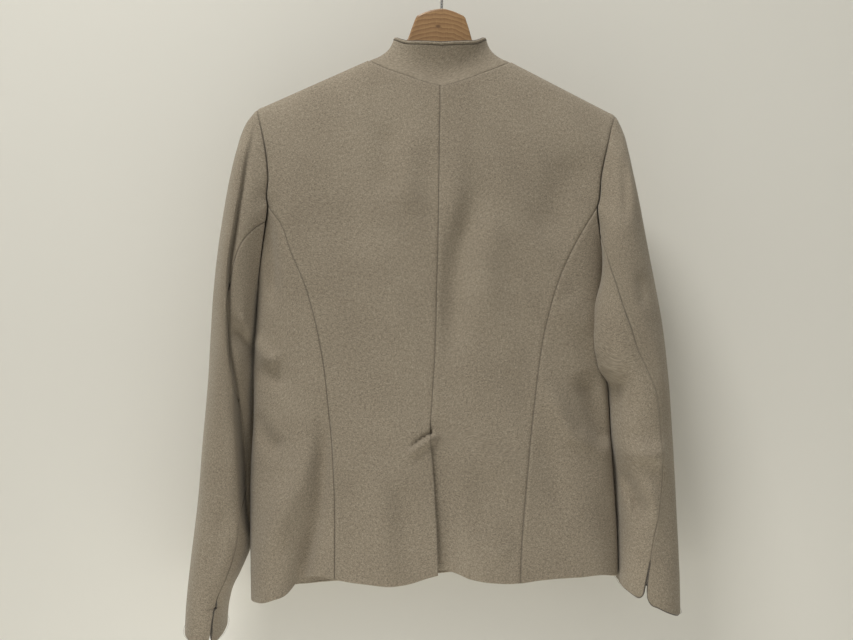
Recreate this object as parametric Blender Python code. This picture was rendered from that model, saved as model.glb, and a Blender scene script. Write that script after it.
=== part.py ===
"""Women's wool jacket with a stand collar, hung on a wooden hanger, its back towards -Y.

Metres, +Z up. The origin is the inner top of the hanger's hook, where a rail carries it.
Left and right are the wearer's, and they are also the viewer's from behind: left is -X.
The tables below are in millimetres, and MM turns them into metres.
"""
import math

import bmesh
import bpy
import mathutils
import numpy as np

MM = 0.001

# Cloth
CLOTH_WALL = 2.2 * MM
COLLAR_WALL = 3.0 * MM
SEAM_GAP = 0.3 * MM
PIPING_RADIUS = 1.2 * MM
PIPING_SETBACK = 0.8

# Body of the jacket, as sections across it at a height below the hook
SECTION_POWER = 2.6
RIDGE_RADIUS = 9.0 * MM
NECK_WIDTH = {-1: 87.8 * MM, 1: 82.6 * MM}
NECK_HEIGHT = {-1: -125.4 * MM, 1: -127.5 * MM}
SHOULDER_SLOPE = {-1: 0.4446, 1: 0.5164}
TIP_HEIGHT = {-1: -184.0 * MM, 1: -192.1 * MM}
PRINCESS_TOP = {-1: -300.0 * MM, 1: -302.0 * MM}
UNDERARM = -395.0 * MM
VENT_TOP = -565.0 * MM
BODY_COLUMNS = ("height", "left", "left_seam", "centre", "right_seam", "right", "back", "front")
BODY_SECTIONS = (
    (-184, -234, -219.6, -2.3, 210.0, 223, 46, 42),
    (-205, -229, -213.5, -2.9, 200.8, 217, 47, 43),
    (-230, -223, -207.8, -3.2, 194.4, 211, 49, 45),
    (-265, -219, -203.6, -3.8, 186.6, 203, 51, 47),
    (-301, -218, -203.3, -4.2, 181.9, 197, 51, 49),
    (-325, -218, -186.5, -4.5, 167.1, 196, 50, 51),
    (-350, -218, -177.6, -4.9, 152.7, 195, 49, 52),
    (-395, -218, -158.7, -5.9, 132.9, 195, 47, 53),
    (-440, -220, -146.2, -7.0, 120.6, 195, 45, 52),
    (-490, -223, -136.6, -9.2, 111.8, 196, 44, 50),
    (-530, -223, -132.2, -11.9, 107.0, 198, 45, 49),
    (-565, -224, -128.9, -13.7, 103.0, 200, 47, 50),
    (-600, -226, -126.4, -10.8, 99.5, 202, 49, 52),
    (-640, -227, -124.0, -8.2, 95.6, 205, 51, 54),
    (-690, -227, -123.4, -5.6, 91.4, 208, 53, 56),
    (-770, -226, -124.0, -5.0, 89.0, 209, 54, 58),
)
BACK_NECK = ((0.0, -161.0), (0.24, -155.2), (0.5, -146.6), (0.75, -138.0), (1.0, None))
FRONT_NECK_DROP = 68 * MM
# Shares of a panel's height at which its rows close up: count and value by turns under the shoulder line
SHOULDER_ROWS_BACK = (0.972, 1, 0.99, 1, 0.9965, 1, 0.9991, 1, 1.0)
SHOULDER_ROWS_FRONT = (0.95, 1, 0.985, 1, 0.9965, 1, 0.9991, 1, 1.0)
UNDERARM_ROWS = (0.0015, 0.007, 0.022, 0.05)
SIDE_SHARES = (0.0, 0.22, 0.45, 0.62, 0.72, 0.80, 0.87, 0.94, 1.0)
BACK_NECK_STEPS = (0.0, 0.05, 0.18, 0.4, 0.66, 0.87, 0.96, 1.0)
FRONT_NECK_STEPS = (0.0, 0.22, 0.45, 0.68, 0.86, 0.96, 1.0)
BACK_HEM = (
    (-226, -765), (-211, -762), (-196, -757), (-178, -750), (-167, -738), (-147, -729), (-128, -732),
    (-90, -737), (-54, -739), (-36, -736), (-20, -731), (-5, -727), (8, -724), (23, -723), (33, -726),
    (45, -731), (62, -735), (88, -736), (118, -733), (157, -731), (191, -731), (209, -736),
)
BACK_HEM_CENTRE = -727 * MM
BACK_HEM_LEVEL = -735 * MM
FRONT_HEM_LEVEL = -740 * MM
FRONT_HEM = ((-226, -765), (-190, -759), (-150, -757), (-95, -755), (0, -746), (120, -741), (209, -736))

# Folds of the body: heights and x of their top and bottom, how far they stand out, and half their width
FOLD_COLUMNS = ("top", "bottom", "x_top", "x_bottom", "rise", "half_width")
BACK_FOLDS = (
    (-560, -700, -165, -204, 20.0, 24.0),
    (-590, -745, -140, -166, -9.0, 12.0),
    (-600, -745, 150, 178, 5.0, 24.0),
    (-250, -520, -62, -58, 3.0, 36.0),
    (-260, -520, 60, 52, 3.0, 38.0),
)
VENT_UNDERLAP = 32 * MM
VENT_STEP = 3.3 * MM
VENT_SINK = 5.0 * MM
VENT_FADE = 30 * MM
VENT_FLAT = 14 * MM
FRONT_LAP = 18 * MM
LAP_STEP = 3.0 * MM
LAP_FADE = 26 * MM
LAP_DROP = 5 * MM

# Sleeves, as level sections below each shoulder point; the lean shifts their backs towards the body
SLEEVE_COLUMNS = ("height", "outer", "inner", "back", "front", "lean", "back_seam")
SLEEVE_SECTIONS = {
    -1: (
        (-184, -220.0, -200, -12, 14, 0, 106),
        (-197, -231.0, -201, -22, 26, 0, 106),
        (-215, -239.0, -202, -30, 36, 0, 106),
        (-233, -243.5, -203, -36, 42, 0, 106),
        (-271, -252.0, -205, -43, 50, 0, 106),
        (-313, -259.0, -210, -48, 56, 0, 106),
        (-357, -265.5, -215, -50, 60, 0, 92),
        (-404, -270.5, -219.5, -50, 62, 0, 87),
        (-448, -273.5, -223, -49, 63, 0, 93),
        (-489, -276.0, -226, -48, 62, 0, 104),
        (-530, -279.0, -227, -47, 60, 0, 122),
        (-584, -284.0, -229, -46, 57, 0, 136),
        (-641, -288.5, -231, -45, 54, 0, 138),
        (-690, -294.0, -233, -45, 51, 0, 133),
        (-731, -299.0, -239, -45, 49, 0, 130),
        (-771, -302.0, -247, -46, 47, 0, 124),
        (-815, -304.0, -251, -46, 46, 0, 122),
    ),
    1: (
        (-192, 208.5, 190, -12, 14, 0, 114),
        (-201, 213.0, 190, -20, 24, 0, 114),
        (-212, 217.0, 190, -27, 32, 0, 114),
        (-235, 222.0, 190, -36, 42, 1, 114),
        (-261, 227.0, 189, -43, 49, 2, 114),
        (-293, 233.5, 186, -49, 54, 3, 115),
        (-320, 238.5, 179, -52, 57, 3, 119),
        (-342, 242.8, 174.5, -53, 59, 3, 119),
        (-364, 247.0, 172, -54, 60, 3, 112),
        (-394, 253.0, 171, -55, 61, 3, 101),
        (-432, 260.0, 172, -56, 61, 3, 91),
        (-475, 265.5, 176, -56, 60, 2, 82),
        (-494, 267.2, 181, -55, 59, 1, 75),
        (-508, 268.4, 194, -54, 58, 1, 74),
        (-528, 270.0, 198, -53, 57, 1, 69),
        (-560, 272.0, 200.5, -52, 55, 1, 68),
        (-620, 275.5, 207, -50, 52, 0, 74),
        (-680, 278.5, 210, -49, 50, 0, 90),
        (-740, 281.0, 209.5, -49, 48, 0, 105),
        (-780, 282.0, 207, -49, 47, 0, 108),
    ),
}
SLEEVE_HEM = {-1: (-797, -807, -802), 1: (-778, -765, -744)}
SLEEVE_POWER = 2.3
SLEEVE_CLEAR = 2.8 * MM
HEAD_BLEND = 16 * MM
FRONT_SEAM_ANGLE = -75
SLIT_LENGTH = 41 * MM
SLIT_OPENING = 5.0 * MM
SLIT_CORNER = 3.0 * MM
SLIT_REACH = 14
SLIT_RADIUS = 42 * MM

# Folds of the sleeves: heights and angles of their top and bottom, how far they stand out, half their width
SLEEVE_FOLD_COLUMNS = ("top", "bottom", "start", "end", "rise", "half_width")
SLEEVE_FOLDS = {-1: ((-230, -620, 112, 106, -6.0, 20),), 1: ((-470, -560, 140, 150, -4.0, 18),)}

# Shares of a sleeve's length at which its rows stand: count and value by turns
SLEEVE_ROWS = (0.0, 1, 0.012, 1, 0.035, 4, 0.13, 8, 0.62, 6, 0.945, 1, 0.962, 1, 0.981, 1, 1.0)

# Stand collar
COLLAR_TOP_HALF_WIDTH = {-1: 57 * MM, 1: 53 * MM}
COLLAR_TOP_BACK = -27 * MM
COLLAR_TOP_FRONT = 40 * MM
COLLAR_TOP_HEIGHTS = ((0, -110.5), (40, -107.0), (90, -97.5), (140, -122), (180, -148))
COLLAR_HOLLOW = 2.5 * MM
COLLAR_END = 5 * MM

# Buttons
BUTTON_COUNT = 5
BUTTON_RADIUS = 10 * MM
BUTTON_THICKNESS = 4 * MM
BUTTON_TOP = -225 * MM
BUTTON_BOTTOM = -580 * MM

# Hanger
WOOD_HALF_THICKNESS = 6.0 * MM
WOOD_EDGE = 2.4 * MM
WOOD_TOP = -62 * MM
WOOD_BELOW_RIDGE = 4.1 * MM
WOOD_DIP = 12 * MM
WOOD_LOW = -152 * MM
ARM_DEPTH_CENTRE = 36 * MM
ARM_DEPTH_END = 16 * MM
ARM_REACH = {-1: 205 * MM, 1: 192 * MM}
WOOD_HEAD = (
    (-40, -99), (-36.5, -82), (-30, -71.8), (-16, -64.6), (0, -62),
    (15, -64.8), (28, -72.4), (34.5, -83), (37.5, -99),
)
HOOK_WIRE_RADIUS = 1.75 * MM
HOOK_RADIUS = 20 * MM


def table_column(columns, rows, name):
    """Return one named column of a table in metres, ordered by height from the lowest."""
    index = columns.index(name)
    ordered = sorted(rows)
    heights = np.array([row[0] for row in ordered]) * MM
    scale = 1.0 if name == "back_seam" else MM
    values = np.array([row[index] for row in ordered]) * scale
    return heights, values


def smooth_curve(knots, values, where):
    """Read a smooth curve through the knots, level beyond both ends."""
    where = np.clip(where, knots[0], knots[-1])
    slopes = np.gradient(values, knots)
    index = np.clip(np.searchsorted(knots, where, side="right") - 1, 0, len(knots) - 2)
    span = knots[index + 1] - knots[index]
    share = (where - knots[index]) / span
    start, end = values[index], values[index + 1]
    start_slope, end_slope = slopes[index] * span, slopes[index + 1] * span
    square, cube = share**2, share**3
    return (
        start * (2 * cube - 3 * square + 1)
        + start_slope * (cube - 2 * square + share)
        + end * (3 * square - 2 * cube)
        + end_slope * (cube - square)
    )


def smooth_step(share):
    """Ease from 0 to 1."""
    share = np.clip(share, 0.0, 1.0)
    return share * share * (3 - 2 * share)


def unit(vectors):
    """Scale each vector to length 1."""
    return vectors / np.maximum(np.linalg.norm(vectors, axis=-1, keepdims=True), 1e-12)


BODY_CURVES = {name: table_column(BODY_COLUMNS, BODY_SECTIONS, name) for name in BODY_COLUMNS[1:]}


def body(name, height):
    """Read one of the body's measures at a height."""
    return smooth_curve(*BODY_CURVES[name], height)


def ridge_height(x, side):
    """Height of the shoulder line over x; it goes on rising past the neck as a guide for the depth."""
    return NECK_HEIGHT[side] - SHOULDER_SLOPE[side] * (np.abs(x) - NECK_WIDTH[side])


def fold_rise(x, height, folds):
    """How far the folds push the cloth outwards."""
    total = np.zeros(np.broadcast(x, height).shape)
    for row in folds:
        fold = {column: value * MM for column, value in zip(FOLD_COLUMNS, row)}
        share = np.clip((fold["top"] - height) / (fold["top"] - fold["bottom"]), 0.0, 1.0)
        middle = fold["x_top"] + (fold["x_bottom"] - fold["x_top"]) * share
        near = np.exp(-(((x - middle) / fold["half_width"]) ** 2))
        total = total + fold["rise"] * smooth_step(share) * near
    return total


def section_point(turn, height, lift=0.0):
    """Point of the body's surface; turn is 0 at the centre back and a half circle at the centre front."""
    side = np.where(turn < 0, -1, 1)
    centre = body("centre", height)
    half = np.where(turn < 0, centre - body("left", height), body("right", height) - centre)
    power = 2.0 / SECTION_POWER
    x = centre + side * half * np.abs(np.sin(turn)) ** power
    behind = np.abs(turn) <= math.pi / 2
    depth = np.where(behind, body("back", height), body("front", height))
    limit = np.maximum(depth * np.abs(np.cos(turn)) ** power, 1e-6)
    ridge = np.where(x < 0, ridge_height(x, -1), ridge_height(x, 1))
    drop = np.maximum(ridge - height, 0.0)
    reach = limit * np.tanh(np.sqrt(2 * RIDGE_RADIUS * drop) / limit)
    edge = np.abs(np.cos(turn)) ** 0.7
    reach = reach + np.where(behind, fold_rise(x, height, BACK_FOLDS), 0.0) * edge + lift
    return np.stack(np.broadcast_arrays(x, np.where(behind, -reach, reach), height), axis=-1)


def section_normal(turn, height):
    """Outward normal of the body's surface."""
    small_turn, small_height = 1e-3, 0.1 * MM
    across = section_point(turn + small_turn, height) - section_point(turn - small_turn, height)
    along = section_point(turn, height) - section_point(turn, height - small_height)
    normal = unit(np.cross(across, along))
    point = section_point(turn, height)
    side = np.where(point[..., 0] < 0, -1, 1)
    ridge = np.where(point[..., 0] < 0, ridge_height(point[..., 0], -1), ridge_height(point[..., 0], 1))
    slope = np.where(side < 0, SHOULDER_SLOPE[-1], SHOULDER_SLOPE[1])
    upright = unit(np.stack([side * slope, np.zeros_like(slope), np.ones_like(slope)], axis=-1))
    return np.where((ridge - height < 1e-6)[..., None], upright, normal)


def turn_at(x, height, side):
    """Turn at which the back surface passes x."""
    centre = body("centre", height)
    half = centre - body("left", height) if side < 0 else body("right", height) - centre
    share = np.clip(np.abs(x - centre) / half, 0.0, 1.0)
    return np.arcsin(share ** (SECTION_POWER / 2))


def seam_turn(height, side):
    """Turn of the back's outer edge: the armhole above the princess seam's top, and that seam below it."""
    return turn_at(body("left_seam" if side < 0 else "right_seam", height), height, side)


def armhole_turn(height, side):
    """Turn of the armhole's back edge between the shoulder point and the underarm."""
    top = PRINCESS_TOP[side]
    share = 1 - np.sqrt(np.clip((height - UNDERARM) / (top - UNDERARM), 0.0, 1.0))
    start = seam_turn(np.array(top), side)
    return np.where(height > top, seam_turn(height, side), start + (math.pi / 2 - start) * share)


def neck_height(x, side, front):
    """Height of the neck seam over x."""
    share = np.clip(np.abs(x) / NECK_WIDTH[side], 0.0, 1.0)
    if front:
        lapped = LAP_DROP * smooth_step(-side * x / (8 * MM))
        return NECK_HEIGHT[side] - FRONT_NECK_DROP * np.maximum(1 - share**2, 0.0) ** 0.85 - lapped
    shares = np.array([row[0] for row in BACK_NECK])
    heights = np.array([NECK_HEIGHT[side] if row[1] is None else row[1] * MM for row in BACK_NECK])
    return smooth_curve(shares, heights, share)


def lap_turn(height, side):
    """How far a front's edge reaches past the centre front."""
    return turn_at(body("centre", height) - side * FRONT_LAP, height, -side)


def front_turn(share, height, side):
    """Turn of a front at a share of its width, from its lapped edge to the side seam and armhole."""
    edge = np.where(height > UNDERARM, armhole_turn(height, side), math.pi / 2)
    lap = lap_turn(height, side)
    from_centre = -lap + (edge + lap) * share
    return np.where(from_centre < 0, -side * (math.pi + from_centre), side * (math.pi - from_centre))


def top_height(share, side, front):
    """Height of a back or front panel's upper edge, from its inner edge to the shoulder point."""
    height = np.full_like(share, TIP_HEIGHT[side])
    for _ in range(16):
        turn = front_turn(share, height, side) if front else side * share * seam_turn(height, side)
        x = section_point(turn, height)[..., 0]
        on_neck = np.abs(x) < NECK_WIDTH[side]
        height = np.where(on_neck, neck_height(x, side, front), ridge_height(x, side))
    return height


def neck_share(side, front):
    """Share of a panel's width at which its neck seam meets its shoulder seam."""
    height = np.array(NECK_HEIGHT[side])
    lap = lap_turn(height, side) if front else 0.0
    return float((turn_at(side * NECK_WIDTH[side], height, side) + lap) / (seam_turn(height, side) + lap))


def neck_shares(side, front):
    """Shares of a panel's width along its neck seam, closer together towards the shoulder."""
    steps = FRONT_NECK_STEPS if front else BACK_NECK_STEPS
    return neck_share(side, front) * np.array(steps)


def spread(*stops):
    """Join evenly spread values between stops, given as value, count, value, count, value."""
    values = [stops[0]]
    for count, end in zip(stops[1::2], stops[2::2]):
        values.extend(np.linspace(values[-1], end, count + 1)[1:])
    return np.array(values)


def hem_height(x, table):
    """Height of the hem over x."""
    rows = np.array(table) * MM
    return smooth_curve(rows[:, 0], rows[:, 1], x)


def new_object(name, mesh_or_curve, material):
    """Put a mesh or a curve into the jacket's collection with its material."""
    mesh_or_curve.materials.append(material)
    piece = bpy.data.objects.new(name, mesh_or_curve)
    jacket_collection.objects.link(piece)
    return piece


def cloth_shell(name, points, inward, wall, material):
    """Make a closed wall from a grid of outer points and the directions in which its thickness goes."""
    columns, rows = points.shape[:2]
    mesh_data = bmesh.new()
    bmesh.ops.create_grid(mesh_data, x_segments=columns - 1, y_segments=rows - 1, size=0.5)
    places = {}
    for vertex in mesh_data.verts:
        column = round((vertex.co.x + 0.5) * (columns - 1))
        row = round((vertex.co.y + 0.5) * (rows - 1))
        places[vertex] = (column, row)
        vertex.co = points[column, row]
    outer = {tuple(round(value, 9) for value in vertex.co): place for vertex, place in places.items()}
    result = bmesh.ops.extrude_face_region(mesh_data, geom=mesh_data.faces[:], use_keep_orig=True)
    for vertex in (item for item in result["geom"] if isinstance(item, bmesh.types.BMVert)):
        column, row = outer[tuple(round(value, 9) for value in vertex.co)]
        vertex.co = points[column, row] + inward[column, row] * wall
    bmesh.ops.recalc_face_normals(mesh_data, faces=mesh_data.faces[:])
    mesh = bpy.data.meshes.new(name)
    mesh_data.to_mesh(mesh)
    mesh_data.free()
    mesh.shade_smooth()
    mesh.set_sharp_from_angle(angle=math.radians(50))
    return new_object(name, mesh, material)


def off_seam(edge, neighbour):
    """Direction from an edge into its panel, square to the edge."""
    along = unit(np.gradient(edge, axis=0))
    step = neighbour - edge
    return unit(step - np.sum(step * along, axis=-1, keepdims=True) * along)


def part_at_seams(points, first_column=True, last_column=True, last_row=True):
    """Draw the edges that meet a seam half its gap back from it."""
    points = points.copy()
    half = SEAM_GAP / 2
    if first_column:
        points[0] += off_seam(points[0], points[1]) * half
    if last_column:
        points[-1] += off_seam(points[-1], points[-2]) * half
    if last_row:
        points[:, -1] += off_seam(points[:, -1], points[:, -2]) * half
    return points


def panel_rows(side):
    """Shares of a back panel's height, with rows at the vent's and the princess seam's top."""
    hem, neck = BACK_HEM_CENTRE, BACK_NECK[0][1] * MM
    vent = (VENT_TOP - hem) / (neck - hem)
    hem_side = hem_height(np.array(BODY_SECTIONS[-1][2 if side < 0 else 4] * MM), BACK_HEM)
    princess = float((PRINCESS_TOP[side] - hem_side) / (TIP_HEIGHT[side] - hem_side))
    return spread(0.0, 7, vent, 10, princess, 5, *SHOULDER_ROWS_BACK), princess


def back_panel(name, side, material):
    """Left or right back, from the centre seam to the princess seam and armhole."""
    on_neck = neck_shares(side, front=False)
    shares = np.concatenate([on_neck, spread(on_neck[-1], 6, 1.0)[1:]])
    rows, _ = panel_rows(side)
    share, climb = np.meshgrid(shares, rows, indexing="ij")
    top = top_height(shares, side, front=False)[:, None]
    low = np.full_like(shares, BACK_HEM_LEVEL)
    low_x = section_point(side * shares * seam_turn(low, side), low)[:, 0]
    bottom = hem_height(low_x, BACK_HEM)[:, None]
    height = bottom + (top - bottom) * climb
    outer_turn = seam_turn(height, side)
    if side > 0:
        under = turn_at(body("centre", height) - VENT_UNDERLAP, height, -1)
        inner_turn = np.where(height < VENT_TOP - 5 * MM, -under, 0.0)
        turn = inner_turn + (outer_turn - inner_turn) * share
        lift = -vent_depth(section_point(turn, height)[..., 0] - body("centre", height), height)
    else:
        turn = -outer_turn * share
        lift = 0.0
    points = section_point(turn, height, lift)
    points = part_at_seams(points)
    return cloth_shell(name, points, -section_normal(turn, height), CLOTH_WALL, material)


def vent_depth(offset, height):
    """How far the vent's underlap lies inside the upper flap."""
    begun = smooth_step((VENT_TOP + 20 * MM - height) / (20 * MM))
    sink = VENT_SINK * np.clip((VENT_TOP - height) / (160 * MM), 0.0, 1.0)
    return (VENT_STEP * begun + sink) * (1 - smooth_step((offset - VENT_FLAT) / VENT_FADE))


def side_back_top(shares, side):
    """Height of the side back's upper edge along the armhole."""
    heights = np.linspace(PRINCESS_TOP[side], UNDERARM, 400)
    seam = seam_turn(heights, side)
    reached = (armhole_turn(heights, side) - seam) / (math.pi / 2 - seam)
    return np.interp(shares, reached, heights)


def side_back_panel(name, side, material):
    """Panel between the princess seam and the side seam."""
    shares = np.array(SIDE_SHARES)
    rows, princess = panel_rows(side)
    climbs = rows[rows <= princess + 1e-9] / princess
    share, climb = np.meshgrid(shares, climbs, indexing="ij")
    top = side_back_top(shares, side)[:, None]
    low = np.full_like(shares, BACK_HEM_LEVEL)
    low_turn = seam_turn(low, side) + (math.pi / 2 - seam_turn(low, side)) * shares
    bottom = hem_height(section_point(side * low_turn, low)[:, 0], BACK_HEM)[:, None]
    height = bottom + (top - bottom) * climb
    seam = seam_turn(height, side)
    turn = side * (seam + (math.pi / 2 - seam) * share)
    points = part_at_seams(section_point(turn, height))
    return cloth_shell(name, points, -section_normal(turn, height), CLOTH_WALL, material)


def front_rows(side):
    """Shares of a front's height, with rows at the underarm and the shoulder line."""
    hem_side = FRONT_HEM[0 if side < 0 else -1][1] * MM
    underarm = (UNDERARM - hem_side) / (TIP_HEIGHT[side] - hem_side)
    stops = [0.0, 9, underarm]
    for rise in UNDERARM_ROWS:
        stops.extend([1, underarm + rise])
    return spread(*stops, 5, *SHOULDER_ROWS_FRONT)


def front_grid(side, shares, climbs):
    """Turn, height and lift of a front at shares of its width and height."""
    share, climb = np.meshgrid(shares, climbs, indexing="ij")
    top = top_height(shares, side, front=True)[:, None]
    low = np.full_like(shares, FRONT_HEM_LEVEL)
    low_x = section_point(side * shares * math.pi / 2, low)[:, 0]
    bottom = hem_height(low_x, FRONT_HEM)[:, None]
    height = bottom + (top - bottom) * climb
    turn = front_turn(share, height, side)
    offset = side * (section_point(turn, height)[..., 0] - body("centre", height))
    lift = LAP_STEP * (1 - smooth_step((offset - FRONT_LAP) / LAP_FADE)) if side > 0 else 0.0 * offset
    return turn, height, lift


def front_panel(name, side, material):
    """Left or right front, from the lapped centre to the side seam and armhole."""
    on_neck = neck_shares(side, front=True)
    shares = np.concatenate([on_neck, spread(on_neck[-1], 5, 1.0)[1:]])
    turn, height, lift = front_grid(side, shares, front_rows(side))
    points = part_at_seams(section_point(turn, height, lift), first_column=False)
    return cloth_shell(name, points, -section_normal(turn, height), CLOTH_WALL, material)


def armhole_ring(side):
    """Corners of the armhole's edge, as angle round the sleeve, turn and height."""
    tip, middle = TIP_HEIGHT[side], (TIP_HEIGHT[side] + UNDERARM) / 2
    half = (TIP_HEIGHT[side] - UNDERARM) / 2
    rows, princess = panel_rows(side)
    hem_side = hem_height(np.array(BODY_SECTIONS[-1][2 if side < 0 else 4] * MM), BACK_HEM)
    back_heights = (hem_side + (tip - hem_side) * rows[rows >= princess - 1e-9])[::-1]
    side_shares = np.array(SIDE_SHARES)
    side_heights = side_back_top(side_shares, side)
    hem_front = FRONT_HEM[0 if side < 0 else -1][1] * MM
    front = hem_front + (tip - hem_front) * front_rows(side)
    front_heights = front[front >= UNDERARM - 1e-9]
    ring = []
    for height in np.concatenate([back_heights, side_heights[1:]]):
        angle = math.acos(np.clip((height - middle) / half, -1, 1))
        ring.append((angle, float(armhole_turn(np.array(height), side)), float(height)))
    for height in front_heights[1:]:
        angle = 2 * math.pi - math.acos(np.clip((height - middle) / half, -1, 1))
        ring.append((angle, math.pi - float(armhole_turn(np.array(height), side)), float(height)))
    return ring


class Sleeve:
    """Surface of one sleeve, read by the angle round it and the share of its length."""

    def __init__(self, side):
        self.side = side
        self.curves = {
            name: table_column(SLEEVE_COLUMNS, SLEEVE_SECTIONS[side], name) for name in SLEEVE_COLUMNS[1:]
        }
        ring = armhole_ring(side)
        self.ring_angle = np.array([row[0] for row in ring])
        self.ring_turn = side * np.array([row[1] for row in ring])
        self.ring_height = np.array([row[2] for row in ring])
        self.ring_point = section_point(self.ring_turn, self.ring_height)
        self.ring_normal = section_normal(self.ring_turn, self.ring_height)
        wanted = math.radians(self.read("back_seam", np.array(TIP_HEIGHT[side])))
        self.back_column = int(np.argmin(np.abs(self.ring_angle - wanted)))
        wanted = 2 * math.pi + math.radians(FRONT_SEAM_ANGLE)
        self.front_column = int(np.argmin(np.abs(self.ring_angle - wanted)))

    def read(self, name, height):
        """Read one of the sleeve's measures at a height."""
        return smooth_curve(*self.curves[name], height)

    def along_ring(self, values, angle):
        """Read values given at the ring's corners, straight between them."""
        wrapped = np.mod(angle, 2 * math.pi)
        knots = np.append(self.ring_angle, 2 * math.pi)
        values = np.concatenate([values, values[:1]])
        if values.ndim == 1:
            return np.interp(wrapped, knots, values)
        return np.stack([np.interp(wrapped, knots, values[:, axis]) for axis in range(3)], axis=-1)

    def section(self, angle, height):
        """Point of the level section at a height; angle 0 is outward and a quarter turn is the back."""
        seam_start = self.ring_angle[self.back_column]
        seam = np.radians(self.read("back_seam", height))
        wrapped = np.mod(angle, 2 * math.pi)
        before = wrapped * seam / seam_start
        after = math.pi - (math.pi - wrapped) * (math.pi - seam) / (math.pi - seam_start)
        shown = np.where(wrapped > math.pi, wrapped, np.where(wrapped < seam_start, before, after))
        outer, inner = self.read("outer", height), self.read("inner", height)
        back, front = self.read("back", height), self.read("front", height)
        power = 2.0 / SLEEVE_POWER
        across = np.sign(np.cos(shown)) * np.abs(np.cos(shown)) ** power
        deep = np.sign(np.sin(shown)) * np.abs(np.sin(shown)) ** power
        x = (outer + inner) / 2 + (outer - inner) / 2 * across
        x = x - self.side * self.read("lean", height) * np.clip(deep, 0.0, 1.0) ** 2
        y = (back + front) / 2 - (front - back) / 2 * deep
        push = np.zeros_like(x)
        for row in SLEEVE_FOLDS[self.side]:
            fold = dict(zip(SLEEVE_FOLD_COLUMNS, row))
            share = np.clip((fold["top"] - height / MM) / (fold["top"] - fold["bottom"]), 0.0, 1.0)
            middle = fold["start"] + (fold["end"] - fold["start"]) * share
            near = np.exp(-(((np.degrees(shown) - middle) / fold["half_width"]) ** 2))
            push = push + fold["rise"] * MM * np.sin(math.pi * share) * near
        return np.stack([x + self.side * push * across, y - push * deep, height + 0 * x], axis=-1)

    def hem(self, angle):
        """Height of the sleeve's lower edge at an angle."""
        outer, back, inner = (value * MM for value in SLEEVE_HEM[self.side])
        level = (outer + inner) / 2 + (outer - inner) / 2 * np.cos(angle)
        return level + (back - (outer + inner) / 2) * np.sin(angle)

    def point(self, angle, share):
        """Point of the sleeve; share is 0 at the armhole and 1 at the lower edge."""
        start_height = self.along_ring(self.ring_height, angle)
        start = self.along_ring(self.ring_point, angle)
        height = start_height + (self.hem(angle) - start_height) * share
        left = np.exp(-(start_height - height) / HEAD_BLEND)
        place = self.section(angle, height) + (start - self.section(angle, start_height)) * left[..., None]
        clear = SLEEVE_CLEAR * smooth_step((start_height - height) / (16 * MM)) + SEAM_GAP
        return self.beside_body(place, clear)

    def beside_body(self, place, clear):
        """Move points out of the body along its normal, so that the sleeve lies against it."""
        height = place[..., 2]
        centre = body("centre", height)
        half = np.abs(body("left" if self.side < 0 else "right", height) - centre) + clear
        x, y = place[..., 0] - centre, place[..., 1]
        for _ in range(4):
            share = np.clip(np.abs(x) / half, 0.0, 1.0)
            depth = np.where(y < 0, body("back", height), body("front", height))
            limit = np.maximum(depth * (1 - share**SECTION_POWER) ** (1 / SECTION_POWER), 1e-6)
            drop = np.maximum(ridge_height(x + centre, self.side) - height, 0.0)
            depth = depth * np.tanh(np.sqrt(2 * RIDGE_RADIUS * drop) / limit) + clear
            depth = depth + np.maximum(np.where(y < 0, fold_rise(x + centre, height, BACK_FOLDS), 0.0), 0.0)
            inside = (np.abs(x) / half) ** SECTION_POWER + (np.abs(y) / depth) ** SECTION_POWER
            slope_x = np.sign(x) * SECTION_POWER * (np.abs(x) / half) ** (SECTION_POWER - 1) / half
            slope_y = np.sign(y) * SECTION_POWER * (np.abs(y) / depth) ** (SECTION_POWER - 1) / depth
            step = np.maximum(1 - inside, 0.0) / np.maximum(slope_x**2 + slope_y**2, 1e-6)
            x, y = x + slope_x * step, y + slope_y * step
        near = smooth_step((TIP_HEIGHT[self.side] - 25 * MM - height) / (35 * MM))[..., None]
        return place + (np.stack([x + centre, y, height], axis=-1) - place) * near

    def normal(self, angle, share):
        """Outward normal of the sleeve."""
        small = 2e-3
        low, high = np.maximum(share - small, 0.0), np.minimum(share + small, 1.0)
        around = self.point(angle + 0.02, share) - self.point(angle - 0.02, share)
        along = self.point(angle, high) - self.point(angle, low)
        return unit(np.cross(around, along)) * self.side


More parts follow.
